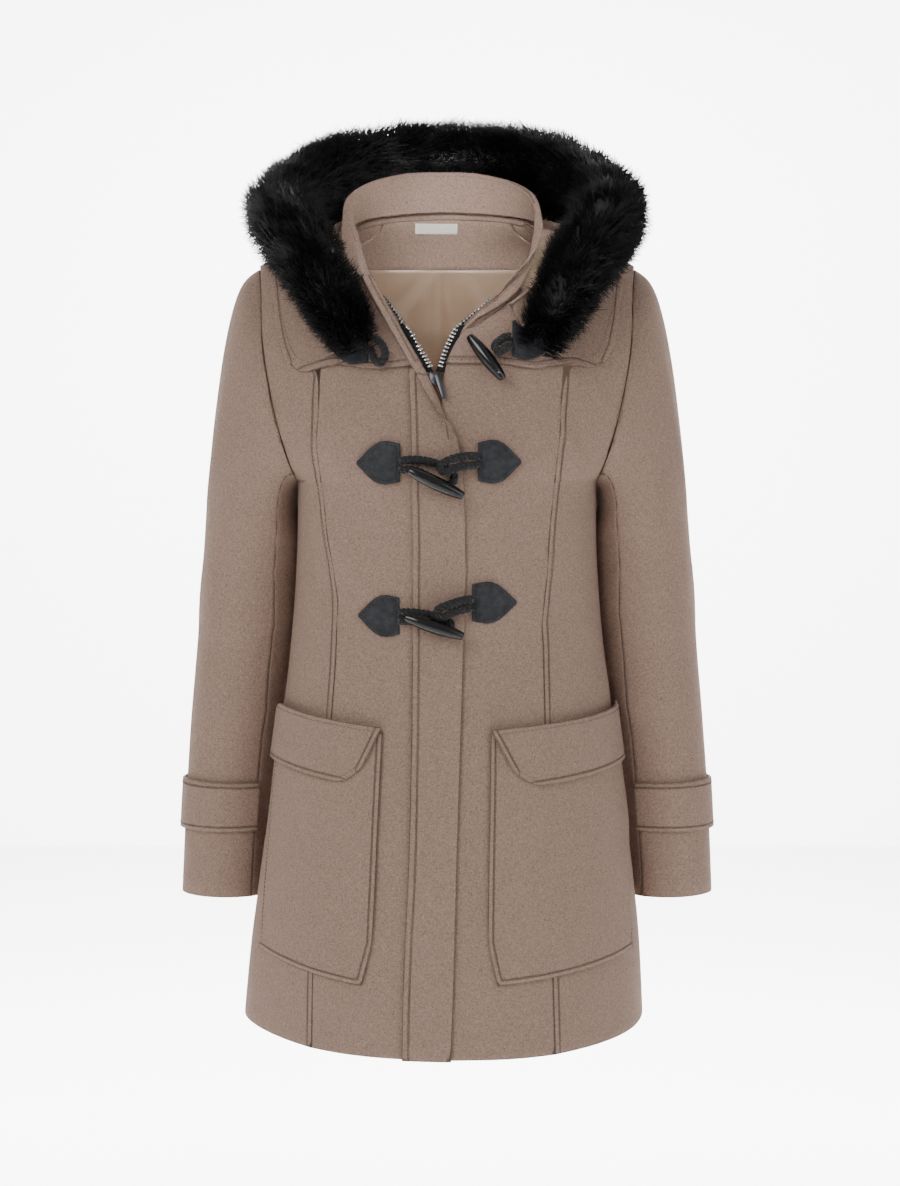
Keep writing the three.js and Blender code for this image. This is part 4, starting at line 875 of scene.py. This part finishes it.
# Locks: shortest and longest, lean along the roll and round it, and the common lean to the back
LOCK_LENGTH = (0.8, 1.16)
LOCK_LEAN = 0.34
LOCK_TURN = 0.30
LEAN_BACK = 0.30

# Hairs of a lock: spread along the roll and round it, and each hair's own lean
HAIR_SPREAD = 0.0085
HAIR_TURN = 0.21
HAIR_LEAN = 0.09

# Stray hairs and how much longer they are
STRAYS = 0.05
STRAY_LENGTH = (1.05, 1.3)

# Where a hair bends, as a share of its length, and how much of its lean and width it has there
BEND = 0.62
LEAN_AT_BEND = 0.38
WIDTH_AT_BEND = 0.72

# Thinnest and thickest hair, as shares of the set width
HAIR_WIDTH = (0.7, 1.15)

# How far tips stand past the roll's outline and how far they droop, in metres, and the deepest
# root as a share of the roll's radius
TIP_LEAST = 0.0005
TIP_SPREAD = 0.0035
DROOP = 0.0012
DEEPEST_ROOT = 0.7

# Least part of a hair that stays where the cloth is near, and its distance from the cloth
SHORTEST_HAIR = 0.15
HAIR_CLEARANCE = 0.002

# How far the dark core lies inside the CAD's fur, in metres
CORE_DEPTH = 0.0085
FUR_PIECES = 4


def fur_path(steps):
    """Places, directions and radii along the roll, in metres, from the coat's right front."""
    half = [(Vector(row[:3]) * MM, row[3] * MM) for row in FUR_LINE]
    whole = [(Vector((-p.x, p.y, p.z)), r) for p, r in half[:-1]] + half[::-1]
    middle = np.array([list(p) for p in smooth_path([p for p, _ in whole], steps)])
    shares = np.linspace(0, len(whole) - 1, steps + 1)
    radii = np.interp(shares, range(len(whole)), [r for _, r in whole])
    tangent = np.gradient(middle, axis=0)
    tangent /= np.linalg.norm(tangent, axis=1, keepdims=True)
    side = np.cross(tangent, (0, 0, 1))
    side /= np.linalg.norm(side, axis=1, keepdims=True)
    return middle, tangent, side, np.cross(side, tangent), radii


def hair_mesh(roots, middles, tips, widths, name):
    """Closed, tapering three-sided hairs as one mesh."""
    count = len(roots)
    along = tips - roots
    along /= np.linalg.norm(along, axis=1, keepdims=True)
    across = np.cross(along, (0.31, 0.87, 0.38))
    across /= np.linalg.norm(across, axis=1, keepdims=True)
    other = np.cross(along, across)
    verts = np.empty((count, 7, 3))
    for k in range(3):
        angle = 2 * math.pi * k / 3
        spoke = across * math.cos(angle) + other * math.sin(angle)
        spoke *= widths[:, None] * 0.5
        verts[:, k] = roots + spoke
        verts[:, k + 3] = middles + spoke * WIDTH_AT_BEND
    verts[:, 6] = tips
    faces = [(0, 2, 1), (0, 1, 4, 3), (1, 2, 5, 4), (2, 0, 3, 5), (3, 4, 6), (4, 5, 6), (5, 3, 6)]
    every = [tuple(7 * h + i for i in face) for h in range(count) for face in faces]
    mesh = bpy.data.meshes.new(name)
    mesh.from_pydata(verts.reshape(-1, 3).tolist(), [], every)
    obj = bpy.data.objects.new(name, mesh)
    bpy.context.scene.collection.objects.link(obj)
    return obj


def roll_at(path, at):
    """The roll's middle, its three directions and its radius at shares of its length."""
    middle, tangent, side, rise, radii = path
    steps = len(middle) - 1
    spot = np.clip(at, 0, 1) * steps
    low = np.minimum(spot.astype(int), steps - 1)
    part = spot - low

    def between(rows):
        weight = part if rows.ndim == 1 else part[:, None]
        return rows[low] * (1 - weight) + rows[low + 1] * weight

    over = (at - np.clip(at, 0, 1))[:, None] * ROLL_LENGTH
    centre = between(middle) + between(tangent) * over
    return centre, between(tangent), between(side), between(rise), between(radii)


def locks_of_fur(dice, values, path):
    """Roots, middles, tips and widths of every hair, lock by lock."""
    count = values.locks
    share = dice.uniform(-FUR_PAST_END, 1 + FUR_PAST_END, count)
    angle = dice.uniform(0, 2 * math.pi, count)
    long = dice.uniform(*LOCK_LENGTH, count)
    lean_along = dice.normal(0, LOCK_LEAN, count) + LEAN_BACK * np.sign(0.5 - share)
    lean_round = dice.normal(0, LOCK_TURN, count)
    lock = np.repeat(np.arange(count), values.hairs)
    n = len(lock)
    at = share[lock] + dice.normal(0, HAIR_SPREAD, n)
    turn = (angle[lock] + dice.normal(0, HAIR_TURN, n))[:, None]
    centre, tangent, side, rise, radius = roll_at(path, at)
    spoke = side * np.cos(turn) + rise * np.sin(turn)
    around = rise * np.cos(turn) - side * np.sin(turn)
    deep = np.minimum(values.depth, radius * DEEPEST_ROOT)
    roots = centre + spoke * (radius - deep)[:, None]
    stray = np.where(dice.uniform(0, 1, n) < STRAYS, dice.uniform(*STRAY_LENGTH, n), 1.0)
    reach = (deep + TIP_LEAST + TIP_SPREAD * dice.uniform(0, 1, n)) * long[lock] * stray
    tilt_along = lean_along[lock] + dice.normal(0, HAIR_LEAN, n)
    tilt_round = lean_round[lock] + dice.normal(0, HAIR_LEAN, n)
    lean = tangent * (reach * tilt_along)[:, None] + around * (reach * tilt_round)[:, None]
    tips = roots + spoke * reach[:, None] + lean
    tips[:, 2] -= DROOP * dice.uniform(0, 1, n)
    middles = roots + spoke * (reach * BEND)[:, None] + lean * LEAN_AT_BEND
    widths = values.width * dice.uniform(*HAIR_WIDTH, n)
    return roots, middles, tips, widths


def trimmed(roots, middles, tips, trees):
    """Shorten each hair that would pass through the cloth below it."""
    keep = np.ones(len(roots))
    for i, (root, tip) in enumerate(zip(roots, tips)):
        start = Vector(root)
        run = Vector(tip) - start
        length = run.length
        for tree in trees:
            hit = tree.ray_cast(start, run, length + HAIR_CLEARANCE)
            if hit[0] is not None:
                keep[i] = min(keep[i], max(SHORTEST_HAIR, (hit[3] - HAIR_CLEARANCE) / length))
    keep = keep[:, None]
    return roots + (middles - roots) * keep, roots + (tips - roots) * keep


class COAT_OT_fur(bpy.types.Operator):
    """Deep fur along the hood's edge, hair by hair over a dark core"""
    bl_idname = "coat.fur"
    bl_label = "Fur"

    def execute(self, context):
        values = context.scene.coat_fur
        core = copy_of("hood_fur", "fur_core")
        subdivide(core, 1)
        only(core)
        bpy.ops.object.mode_set(mode="EDIT")
        bpy.ops.mesh.select_all(action="SELECT")
        bpy.ops.transform.shrink_fatten(value=-CORE_DEPTH)
        bpy.ops.object.mode_set(mode="OBJECT")
        finish_piece(core, material("fur"), "fur", "coat", "hood_fur")
        dice = np.random.default_rng(values.seed)
        roots, middles, tips, widths = locks_of_fur(dice, values, fur_path(FUR_STEPS))
        under = ["yoke_back", *sides("yoke_front"), *sides("sleeve_top"), "hood_shell"]
        trees = [tree_of("cloth_" + node) for node in under]
        middles, tips = trimmed(roots, middles, tips, trees)
        for k in range(FUR_PIECES):
            part = slice(k * len(roots) // FUR_PIECES, (k + 1) * len(roots) // FUR_PIECES)
            hair = hair_mesh(roots[part], middles[part], tips[part], widths[part], f"fur_hair_{k + 1}")
            finish_piece(hair, material("fur"), "fur", "coat", "hood_fur")
        return {"FINISHED"}


# Leather, toggles, cords and zip

PADS = [f"pad_{row}_{side}" for row in ("upper", "middle", "lower") for side in ("left", "right")]
TOGGLES = ["toggle_upper", "toggle_middle", "toggle_lower"]

# Rounding of the pads, the zip's teeth and its other metal, and how far the teeth stand on the
# tape, in metres
PAD_ROUND = 0.0008
TOOTH_ROUND = 0.0005
METAL_ROUND = 0.0004
TOOTH_RISE = 0.0003

# Heights at both ends of the open zip and how far forward it lies there, in mm
ZIP_RUN = ((-108, -35), (-113, -86))


class COAT_OT_pads(bpy.types.Operator):
    """Leather pads that hold the cords"""
    bl_idname = "coat.pads"
    bl_label = "Leather pads"

    def execute(self, context):
        for node in PADS:
            pad = copy_of(node, "leather_" + node)
            round_rims(pad, HARD_RIM, PAD_ROUND, 3)
            finish_piece(pad, material("leather"), "leather", "coat", node)
        return {"FINISHED"}


class COAT_OT_toggles(bpy.types.Operator):
    """Tapered horn toggles"""
    bl_idname = "coat.toggles"
    bl_label = "Toggles"

    def execute(self, context):
        for node in TOGGLES:
            toggle = copy_of(node, "horn_" + node)
            crease_rims(toggle, HARD_RIM, TOGGLE_CREASE)
            subdivide(toggle, 2)
            finish_piece(toggle, material("horn"), "horn", "coat", node)
        return {"FINISHED"}


def strands(path, radius, pitch, name):
    """Three strands twisted round each other along a path in metres."""
    flat = np.array([list(p) for p in path])
    tangent = np.gradient(flat, axis=0)
    tangent /= np.linalg.norm(tangent, axis=1, keepdims=True)
    reach = reach_along(flat)
    across = np.empty_like(tangent)
    for i in range(len(flat)):
        spoke = np.cross(tangent[i], (0, 1, 0)) if i == 0 else across[i - 1]
        spoke = spoke - tangent[i] * np.dot(spoke, tangent[i])
        across[i] = spoke / np.linalg.norm(spoke)
    other = np.cross(tangent, across)
    made = []
    for k in range(3):
        angle = 2 * math.pi * (reach / pitch + k / 3)
        shift = across * np.cos(angle)[:, None] + other * np.sin(angle)[:, None]
        points = [Vector(p) for p in flat + shift * radius]
        made.append(tube(points, radius * STRAND_FULLNESS, f"{name}_{k}"))
    return made


class COAT_OT_cords(bpy.types.Operator):
    """Twisted cords: three loops and the three ties of the toggles"""
    bl_idname = "coat.cords"
    bl_label = "Cords"

    def execute(self, context):
        values = context.scene.coat_cord
        for node, points in CORDS.items():
            path = smooth_path([Vector(p) * MM for p in points], CORD_STEPS)
            cord = joined(strands(path, values.strand, values.pitch, node), "twisted_" + node)
            finish_piece(cord, material("cord"), "cord", "coat", node)
        return {"FINISHED"}


def tooth_at(place, along, normal, size, name):
    """One zip tooth: a small block, whose edges are rounded once its row is joined."""
    across = along.cross(normal).normalized()
    turn = Matrix((across, along, normal)).transposed().to_euler()
    bpy.ops.mesh.primitive_cube_add(size=1, location=place, rotation=turn, scale=size)
    tooth = bpy.context.view_layer.objects.active
    tooth.name = name
    return tooth


def teeth(side, values):
    """The open zip's teeth along one tape."""
    tape = mesh_tree(cad_mesh("zip_tape_" + side))
    rough = []
    for x, z in TOOTH_LINES[side]:
        y = np.interp(z, *ZIP_RUN)
        rough.append(Vector((x, y, z)) * MM)
    made = []
    points = resampled(smooth_path(rough, ZIP_STEPS), values.pitch)
    for k in range(len(points) - 1):
        along = (points[k + 1] - points[k]).normalized()
        place, normal, _, _ = tape.find_nearest(points[k])
        if normal.y > 0:
            normal = -normal
        normal = (normal - along * normal.dot(along)).normalized()
        made.append(tooth_at(place + normal * TOOTH_RISE, along, normal, values.tooth, "tooth"))
    return made


def bevelled(obj, width):
    only(obj)
    bpy.ops.object.modifier_add(type="BEVEL")
    modifier = obj.modifiers[-1]
    modifier.width = width
    modifier.segments = 1
    modifier.limit_method = "ANGLE"
    bpy.ops.object.modifier_apply(modifier=modifier.name)
    bpy.ops.object.shade_smooth()
    return obj


class COAT_OT_zip(bpy.types.Operator):
    """Metal zip: tapes, teeth, closed chain, slider and the swinging pull tab"""
    bl_idname = "coat.zip"
    bl_label = "Zip"

    def execute(self, context):
        values = context.scene.coat_zip
        for side in ("left", "right"):
            tape = copy_of("zip_tape_" + side, "tape_" + side)
            crease_rims(tape, HARD_RIM, 1.0)
            subdivide(tape, 1)
            finish_piece(tape, material("zip_tape"), "zip_tape", "coat", "zip_tape_" + side)
            row = bevelled(joined(teeth(side, values), "zip_teeth_" + side), TOOTH_ROUND)
            finish_piece(row, material("metal"), "metal", "coat")
        for node, body in (("zip_chain", "coat"), ("zip_slider", "coat"),
                           ("zip_pull_tab", "pull_tab")):
            obj = bevelled(copy_of(node, "metal_" + node), METAL_ROUND)
            finish = "metal" if node == "zip_chain" else "steel"
            finish_piece(obj, material(finish), "metal", body, node)
        return {"FINISHED"}


# Sewing

def row_on_front(points, node):
    """Points of a row in mm across and up, on the front of a piece, in metres."""
    tree = tree_of("cloth_" + node)
    flat = np.array(points, float)
    reach = reach_along(flat)
    laid = []
    for s in np.linspace(0, reach[-1], max(2, int(reach[-1] / 3))):
        x, z = (np.interp(s, reach, flat[:, k]) for k in (0, 1))
        point = cast_front(tree, x, z)
        if point is not None:
            laid.append(point)
    return laid


def rim_segments(node):
    """The rim edges of a CAD wall as pairs of points in mm."""
    work = bmesh.new()
    work.from_mesh(cad_mesh(node))
    bmesh.ops.remove_doubles(work, verts=work.verts, dist=1e-6)
    rims = [
        [tuple(v.co / MM) for v in edge.verts] for edge in work.edges
        if len(edge.link_faces) == 2 and edge.calc_face_angle(0) > math.radians(HARD_RIM)
    ]
    work.free()
    return rims


def seam_line(node, side, inset, heights, rear=False):
    """Points beside the long edge of a panel, on the panel, in metres."""
    tree = tree_of("cloth_" + node)
    rims = rim_segments(node)
    laid = []
    for z in heights:
        crossings = crossings_at(rims, z)
        if not crossings:
            continue
        x = side * max(side * c for c in crossings) - side * inset / MM
        reach = 1 if rear else -1
        hit = tree.ray_cast(Vector((x * MM, reach, z * MM)), Vector((0, -reach, 0)))
        if hit[0] is not None:
            laid.append(hit[0])
    return laid


def outline(node, inset, girth):
    """A row inside a patch's outline, on its outer face, in metres. girth is 0 for a flat patch."""
    tree = tree_of(("leather_" if node in PADS else "cloth_") + node)
    places = np.array([list(v.co) for v in cad_mesh(node).vertices]) / MM
    if girth:
        flat = np.stack([np.arctan2(places[:, 0], -places[:, 1]) * girth, places[:, 2]], axis=1)
    else:
        flat = places[:, [0, 2]]
    edge = hull(flat)
    ring = resampled_ring(edge, 3.0)
    centre = ring.mean(axis=0)
    tangent = np.roll(ring, -1, axis=0) - np.roll(ring, 1, axis=0)
    inward = np.stack([-tangent[:, 1], tangent[:, 0]], axis=1)
    inward /= np.linalg.norm(inward, axis=1, keepdims=True)
    inward *= np.sign(((centre - ring) * inward).sum(axis=1))[:, None]
    moved = ring + inward * (inset / MM)
    laid = []
    for u, z in moved:
        if np.linalg.norm(ring - (u, z), axis=1).min() < LEAST_INSET * inset / MM:
            continue
        bearing = u / girth if girth else 0
        away = Vector((math.sin(bearing), -math.cos(bearing), 0))
        start = away * CAST_FRONT + Vector((0 if girth else u * MM, 0, z * MM))
        hit = tree.ray_cast(start, -away)
        if hit[0] is not None:
            laid.append(hit[0])
    return laid + laid[:1]


def hull(points):
    """The convex outline of flat points."""
    order = sorted(map(tuple, points))

    def half(row):
        line = []
        for p in row:
            while len(line) > 1 and turning(line[-2], line[-1], p) <= 0:
                line.pop()
            line.append(p)
        return line[:-1]

    return np.array(half(order) + half(order[::-1]))


def turning(a, b, c):
    """Above 0 where the way from a over b to c turns left."""
    return (b[0] - a[0]) * (c[1] - a[1]) - (b[1] - a[1]) * (c[0] - a[0])


def resampled_ring(edge, pitch):
    """Flat points a fixed pitch apart round a closed outline."""
    closed = np.vstack([edge, edge[:1]])
    reach = reach_along(closed)
    at = np.arange(0, reach[-1], pitch)
    return np.stack([np.interp(at, reach, closed[:, k]) for k in (0, 1)], axis=1)


def round_sleeve(node, inset, top):
    """A row round a cuff band beside its top or bottom edge, in metres."""
    tree = tree_of("cloth_" + node)
    places = np.array([list(v.co) for v in cad_mesh(node).vertices]) / MM
    centre = places[:, :2].mean(axis=0)
    bearing = np.degrees(np.arctan2(places[:, 0] - centre[0], places[:, 1] - centre[1]))
    sign = 1 if top else -1
    laid = []
    for turn in range(0, 365, 5):
        apart = np.abs((bearing - turn + 180) % 360 - 180)
        near = places[apart < apart.min() + 12]
        z = sign * np.max(sign * near[:, 2]) - sign * inset / MM
        away = Vector((math.sin(math.radians(turn)), math.cos(math.radians(turn)), 0))
        start = Vector((*centre, z)) * MM + away * CAST_CUFF
        hit = tree.ray_cast(start, -away)
        if hit[0] is not None:
            laid.append(hit[0])
    return laid


def round_back(z, node, turns):
    """A level row round the back, in metres."""
    tree = tree_of("cloth_" + node)
    laid = []
    for turn in turns:
        away = Vector((math.sin(math.radians(turn)), -math.cos(math.radians(turn)), 0))
        hit = tree.ray_cast(away * CAST_BACK + Vector((0, 0, z * MM)), -away)
        if hit[0] is not None:
            laid.append(hit[0])
    return laid


# Seams beside which a row runs, as heights of both ends in mm, and the step along them
FRONT_SEAM_RUNS = ((-112, -432), (-684, -748))
BACK_SEAM_RUN = (-112, -738)
SEAM_STEP = -4

# The row round the back's yoke: its height in mm and its bearings in degrees
YOKE_ROW_HEIGHT = -100
YOKE_ROW_TURNS = range(112, 250, 2)

# Distance of a pad's row from its edge in metres, the insets of the pockets' and cuffs' rows as
# shares of the others', and how far round the body one radian of the pockets reaches in mm
PAD_INSET = 0.0036
POCKET_INSET = 0.85
CUFF_INSET = 0.8
POCKET_GIRTH = 150


class COAT_OT_stitching(bpy.types.Operator):
    """Topstitching of the wool and of the leather pads"""
    bl_idname = "coat.stitching"
    bl_label = "Stitching"

    def execute(self, context):
        values = context.scene.coat_thread
        inset = values.inset
        wool, leather = [], []

        def sew(points, piece, rows, name):
            if len(points) > 2:
                rows.append(stitch_row(points, tree_of(piece), values, name))

        for side, sign in (("left", -1), ("right", 1)):
            node = "front_side_" + side
            for run in FRONT_SEAM_RUNS:
                row = seam_line(node, -sign, inset, range(*run, SEAM_STEP))
                sew(row, "cloth_" + node, wool, "seam")
            node = "back_" + side
            for edge in (-sign, sign):
                row = seam_line(node, edge, inset, range(*BACK_SEAM_RUN, SEAM_STEP), rear=True)
                sew(row, "cloth_" + node, wool, "seam")
            for node in ("pocket_" + side, "pocket_flap_" + side):
                row = outline(node, inset * POCKET_INSET, POCKET_GIRTH)
                sew(row, "cloth_" + node, wool, "pocket_row")
            node = "cuff_band_" + side
            for top in (True, False):
                sew(round_sleeve(node, inset * CUFF_INSET, top), "cloth_" + node, wool, "cuff_row")
            node = "yoke_front_" + side
            sew(row_on_front(CAPE_ROWS[side], node), "cloth_" + node, wool, "cape_row")
        row = round_back(YOKE_ROW_HEIGHT, "yoke_back", YOKE_ROW_TURNS)
        sew(row, "cloth_yoke_back", wool, "yoke_row")
        for points in FRONT_ROWS:
            sew(row_on_front(points, "placket"), "cloth_placket", wool, "placket_row")
        collar_top = [Vector(p) * MM for p in COLLAR_TOP]
        sew(smooth_path(collar_top, COLLAR_STEPS), "cloth_collar", wool, "collar_row")
        for node in PADS:
            sew(outline(node, PAD_INSET, 0), "leather_" + node, leather, "pad_row")
        finish_piece(joined(wool, "wool_stitches"), material("wool_thread"), "wool", "coat")
        finish_piece(joined(leather, "pad_stitches"), material("leather_thread"), "leather", "coat")
        return {"FINISHED"}


# Stage

def soft_light(name, place, size, power, target):
    bpy.ops.object.light_add(type="AREA", location=place)
    light = bpy.context.view_layer.objects.active
    light.name = name
    light.data.shape = "RECTANGLE"
    light.data.size, light.data.size_y = size
    light.data.energy = power
    aim = Vector(target) - Vector(place)
    light.rotation_euler = aim.to_track_quat("-Z", "Y").to_euler()
    return light


# Name, place, size, the power it takes and its share of it, and what it is aimed at
LIGHTS = [
    ("key", (-1.5, -2.6, 1.3), (1.8, 1.8), "key", 1.85, (0, 0, -0.4)),
    ("fill", (1.9, -2.2, 0.4), (1.8, 2.2), "fill", 1.8, (0, 0, -0.4)),
    ("top", (0.2, 0.9, 2.0), (2.2, 1.6), "fill", 1.0, (0, 0, 0)),
    ("neck_light", (0.1, -2.3, 0.2), (0.1, 0.1), "neck", 1.0, (0, 0.05, 0.04)),
    ("wall_light", (0, 1.5, 0.6), (6, 3.5), "back", 1.0, (0, 5, 0)),
    ("floor_light", (0, 2.4, 1.6), (6, 2.5), "back", 0.6, (0, 3.4, -1.4)),
]
NECK_LIGHT = 0.11
NECK_SPREAD = 8

# The photo's camera, in metres, with its lens and sensor in mm
CAMERA_PLACE = (0.003, -2.4, -0.197)
CAMERA_AIM = (0.003, 0, -0.325)
LENS = 72.9
SENSOR = 36


# The backdrop's sizes and the wall's place in metres
FLOOR_SIZE = 16
WALL_SIZE = 7
WALL_PLACE = (0, 5, 1.6)


def lay_backdrop(depth):
    """A pale floor at a depth below the shoulders, and a pale wall."""
    pale = Shader("floor", (243, 243, 243), 1.0)
    pale.colour(pale.ramp(pale.noise(0.6, 1), [(0.3, (242, 242, 242)), (0.7, (244, 244, 244))]))
    planes = (("floor", FLOOR_SIZE, (0, 0, -depth), (0, 0, 0)),
              ("backdrop", WALL_SIZE, WALL_PLACE, (math.pi / 2, 0, 0)))
    for name, size, place, turn in planes:
        bpy.ops.mesh.primitive_plane_add(size=size, location=place, rotation=turn)
        plane = bpy.context.view_layer.objects.active
        plane.name = name
        plane.data.materials.append(pale.material)


def set_surround(scene, strength):
    world = bpy.data.worlds.new("studio")
    world.use_nodes = True
    surround = world.node_tree.nodes["Background"]
    surround.inputs["Color"].default_value = (1, 1, 1, 1)
    surround.inputs["Strength"].default_value = strength
    scene.world = world


def set_camera(scene):
    bpy.ops.object.camera_add(location=CAMERA_PLACE)
    camera = bpy.context.view_layer.objects.active
    camera.name = "camera"
    aim = Vector(CAMERA_AIM) - camera.location
    camera.rotation_euler = aim.to_track_quat("-Z", "Y").to_euler()
    camera.data.lens = LENS
    camera.data.sensor_width = SENSOR
    scene.camera = camera


class COAT_OT_stage(bpy.types.Operator):
    """Pale floor, soft studio lights and the camera"""
    bl_idname = "coat.stage"
    bl_label = "Stage"

    def execute(self, context):
        values = context.scene.coat_stage
        lay_backdrop(values.floor)
        set_surround(context.scene, values.sky)
        powers = {"key": values.key, "fill": values.fill, "back": values.back, "neck": NECK_LIGHT}
        for name, place, size, power, share, target in LIGHTS:
            light = soft_light(name, place, size, powers[power] * share, target)
            if power == "neck":
                light.data.spread = math.radians(NECK_SPREAD)
        set_camera(context.scene)
        return {"FINISHED"}


STEPS = [
    COAT_OT_panels, COAT_OT_pockets, COAT_OT_sleeves, COAT_OT_neck, COAT_OT_hood, COAT_OT_fur,
    COAT_OT_pads, COAT_OT_toggles, COAT_OT_cords, COAT_OT_zip, COAT_OT_stitching, COAT_OT_stage,
]
GROUPS = {
    "coat_cloth": CoatCloth, "coat_thread": CoatThread, "coat_fur": CoatFur,
    "coat_cord": CoatCord, "coat_zip": CoatZip, "coat_stage": CoatStage,
}


class COAT_PT_build(bpy.types.Panel):
    """The coat's pieces and their settings"""
    bl_label = "Duffle coat"
    bl_idname = "COAT_PT_build"
    bl_space_type = "VIEW_3D"
    bl_region_type = "UI"
    bl_category = "Coat"

    def draw(self, context):
        for name in GROUPS:
            box = self.layout.box()
            group = getattr(context.scene, name)
            for field in GROUPS[name].__annotations__:
                box.prop(group, field)
        for step in STEPS:
            self.layout.operator(step.bl_idname)


def register():
    for group in GROUPS.values():
        bpy.utils.register_class(group)
    for name, group in GROUPS.items():
        setattr(bpy.types.Scene, name, bpy.props.PointerProperty(type=group))
    for step in STEPS:
        bpy.utils.register_class(step)
    bpy.utils.register_class(COAT_PT_build)


def unregister():
    bpy.utils.unregister_class(COAT_PT_build)
    for step in reversed(STEPS):
        bpy.utils.unregister_class(step)
    for name in reversed(list(GROUPS)):
        delattr(bpy.types.Scene, name)
    for group in reversed(list(GROUPS.values())):
        bpy.utils.unregister_class(group)


def main():
    register()
    for step in STEPS:
        group, name = step.bl_idname.split(".")
        getattr(getattr(bpy.ops, group), name)()


if __name__ == "__main__":
    main()
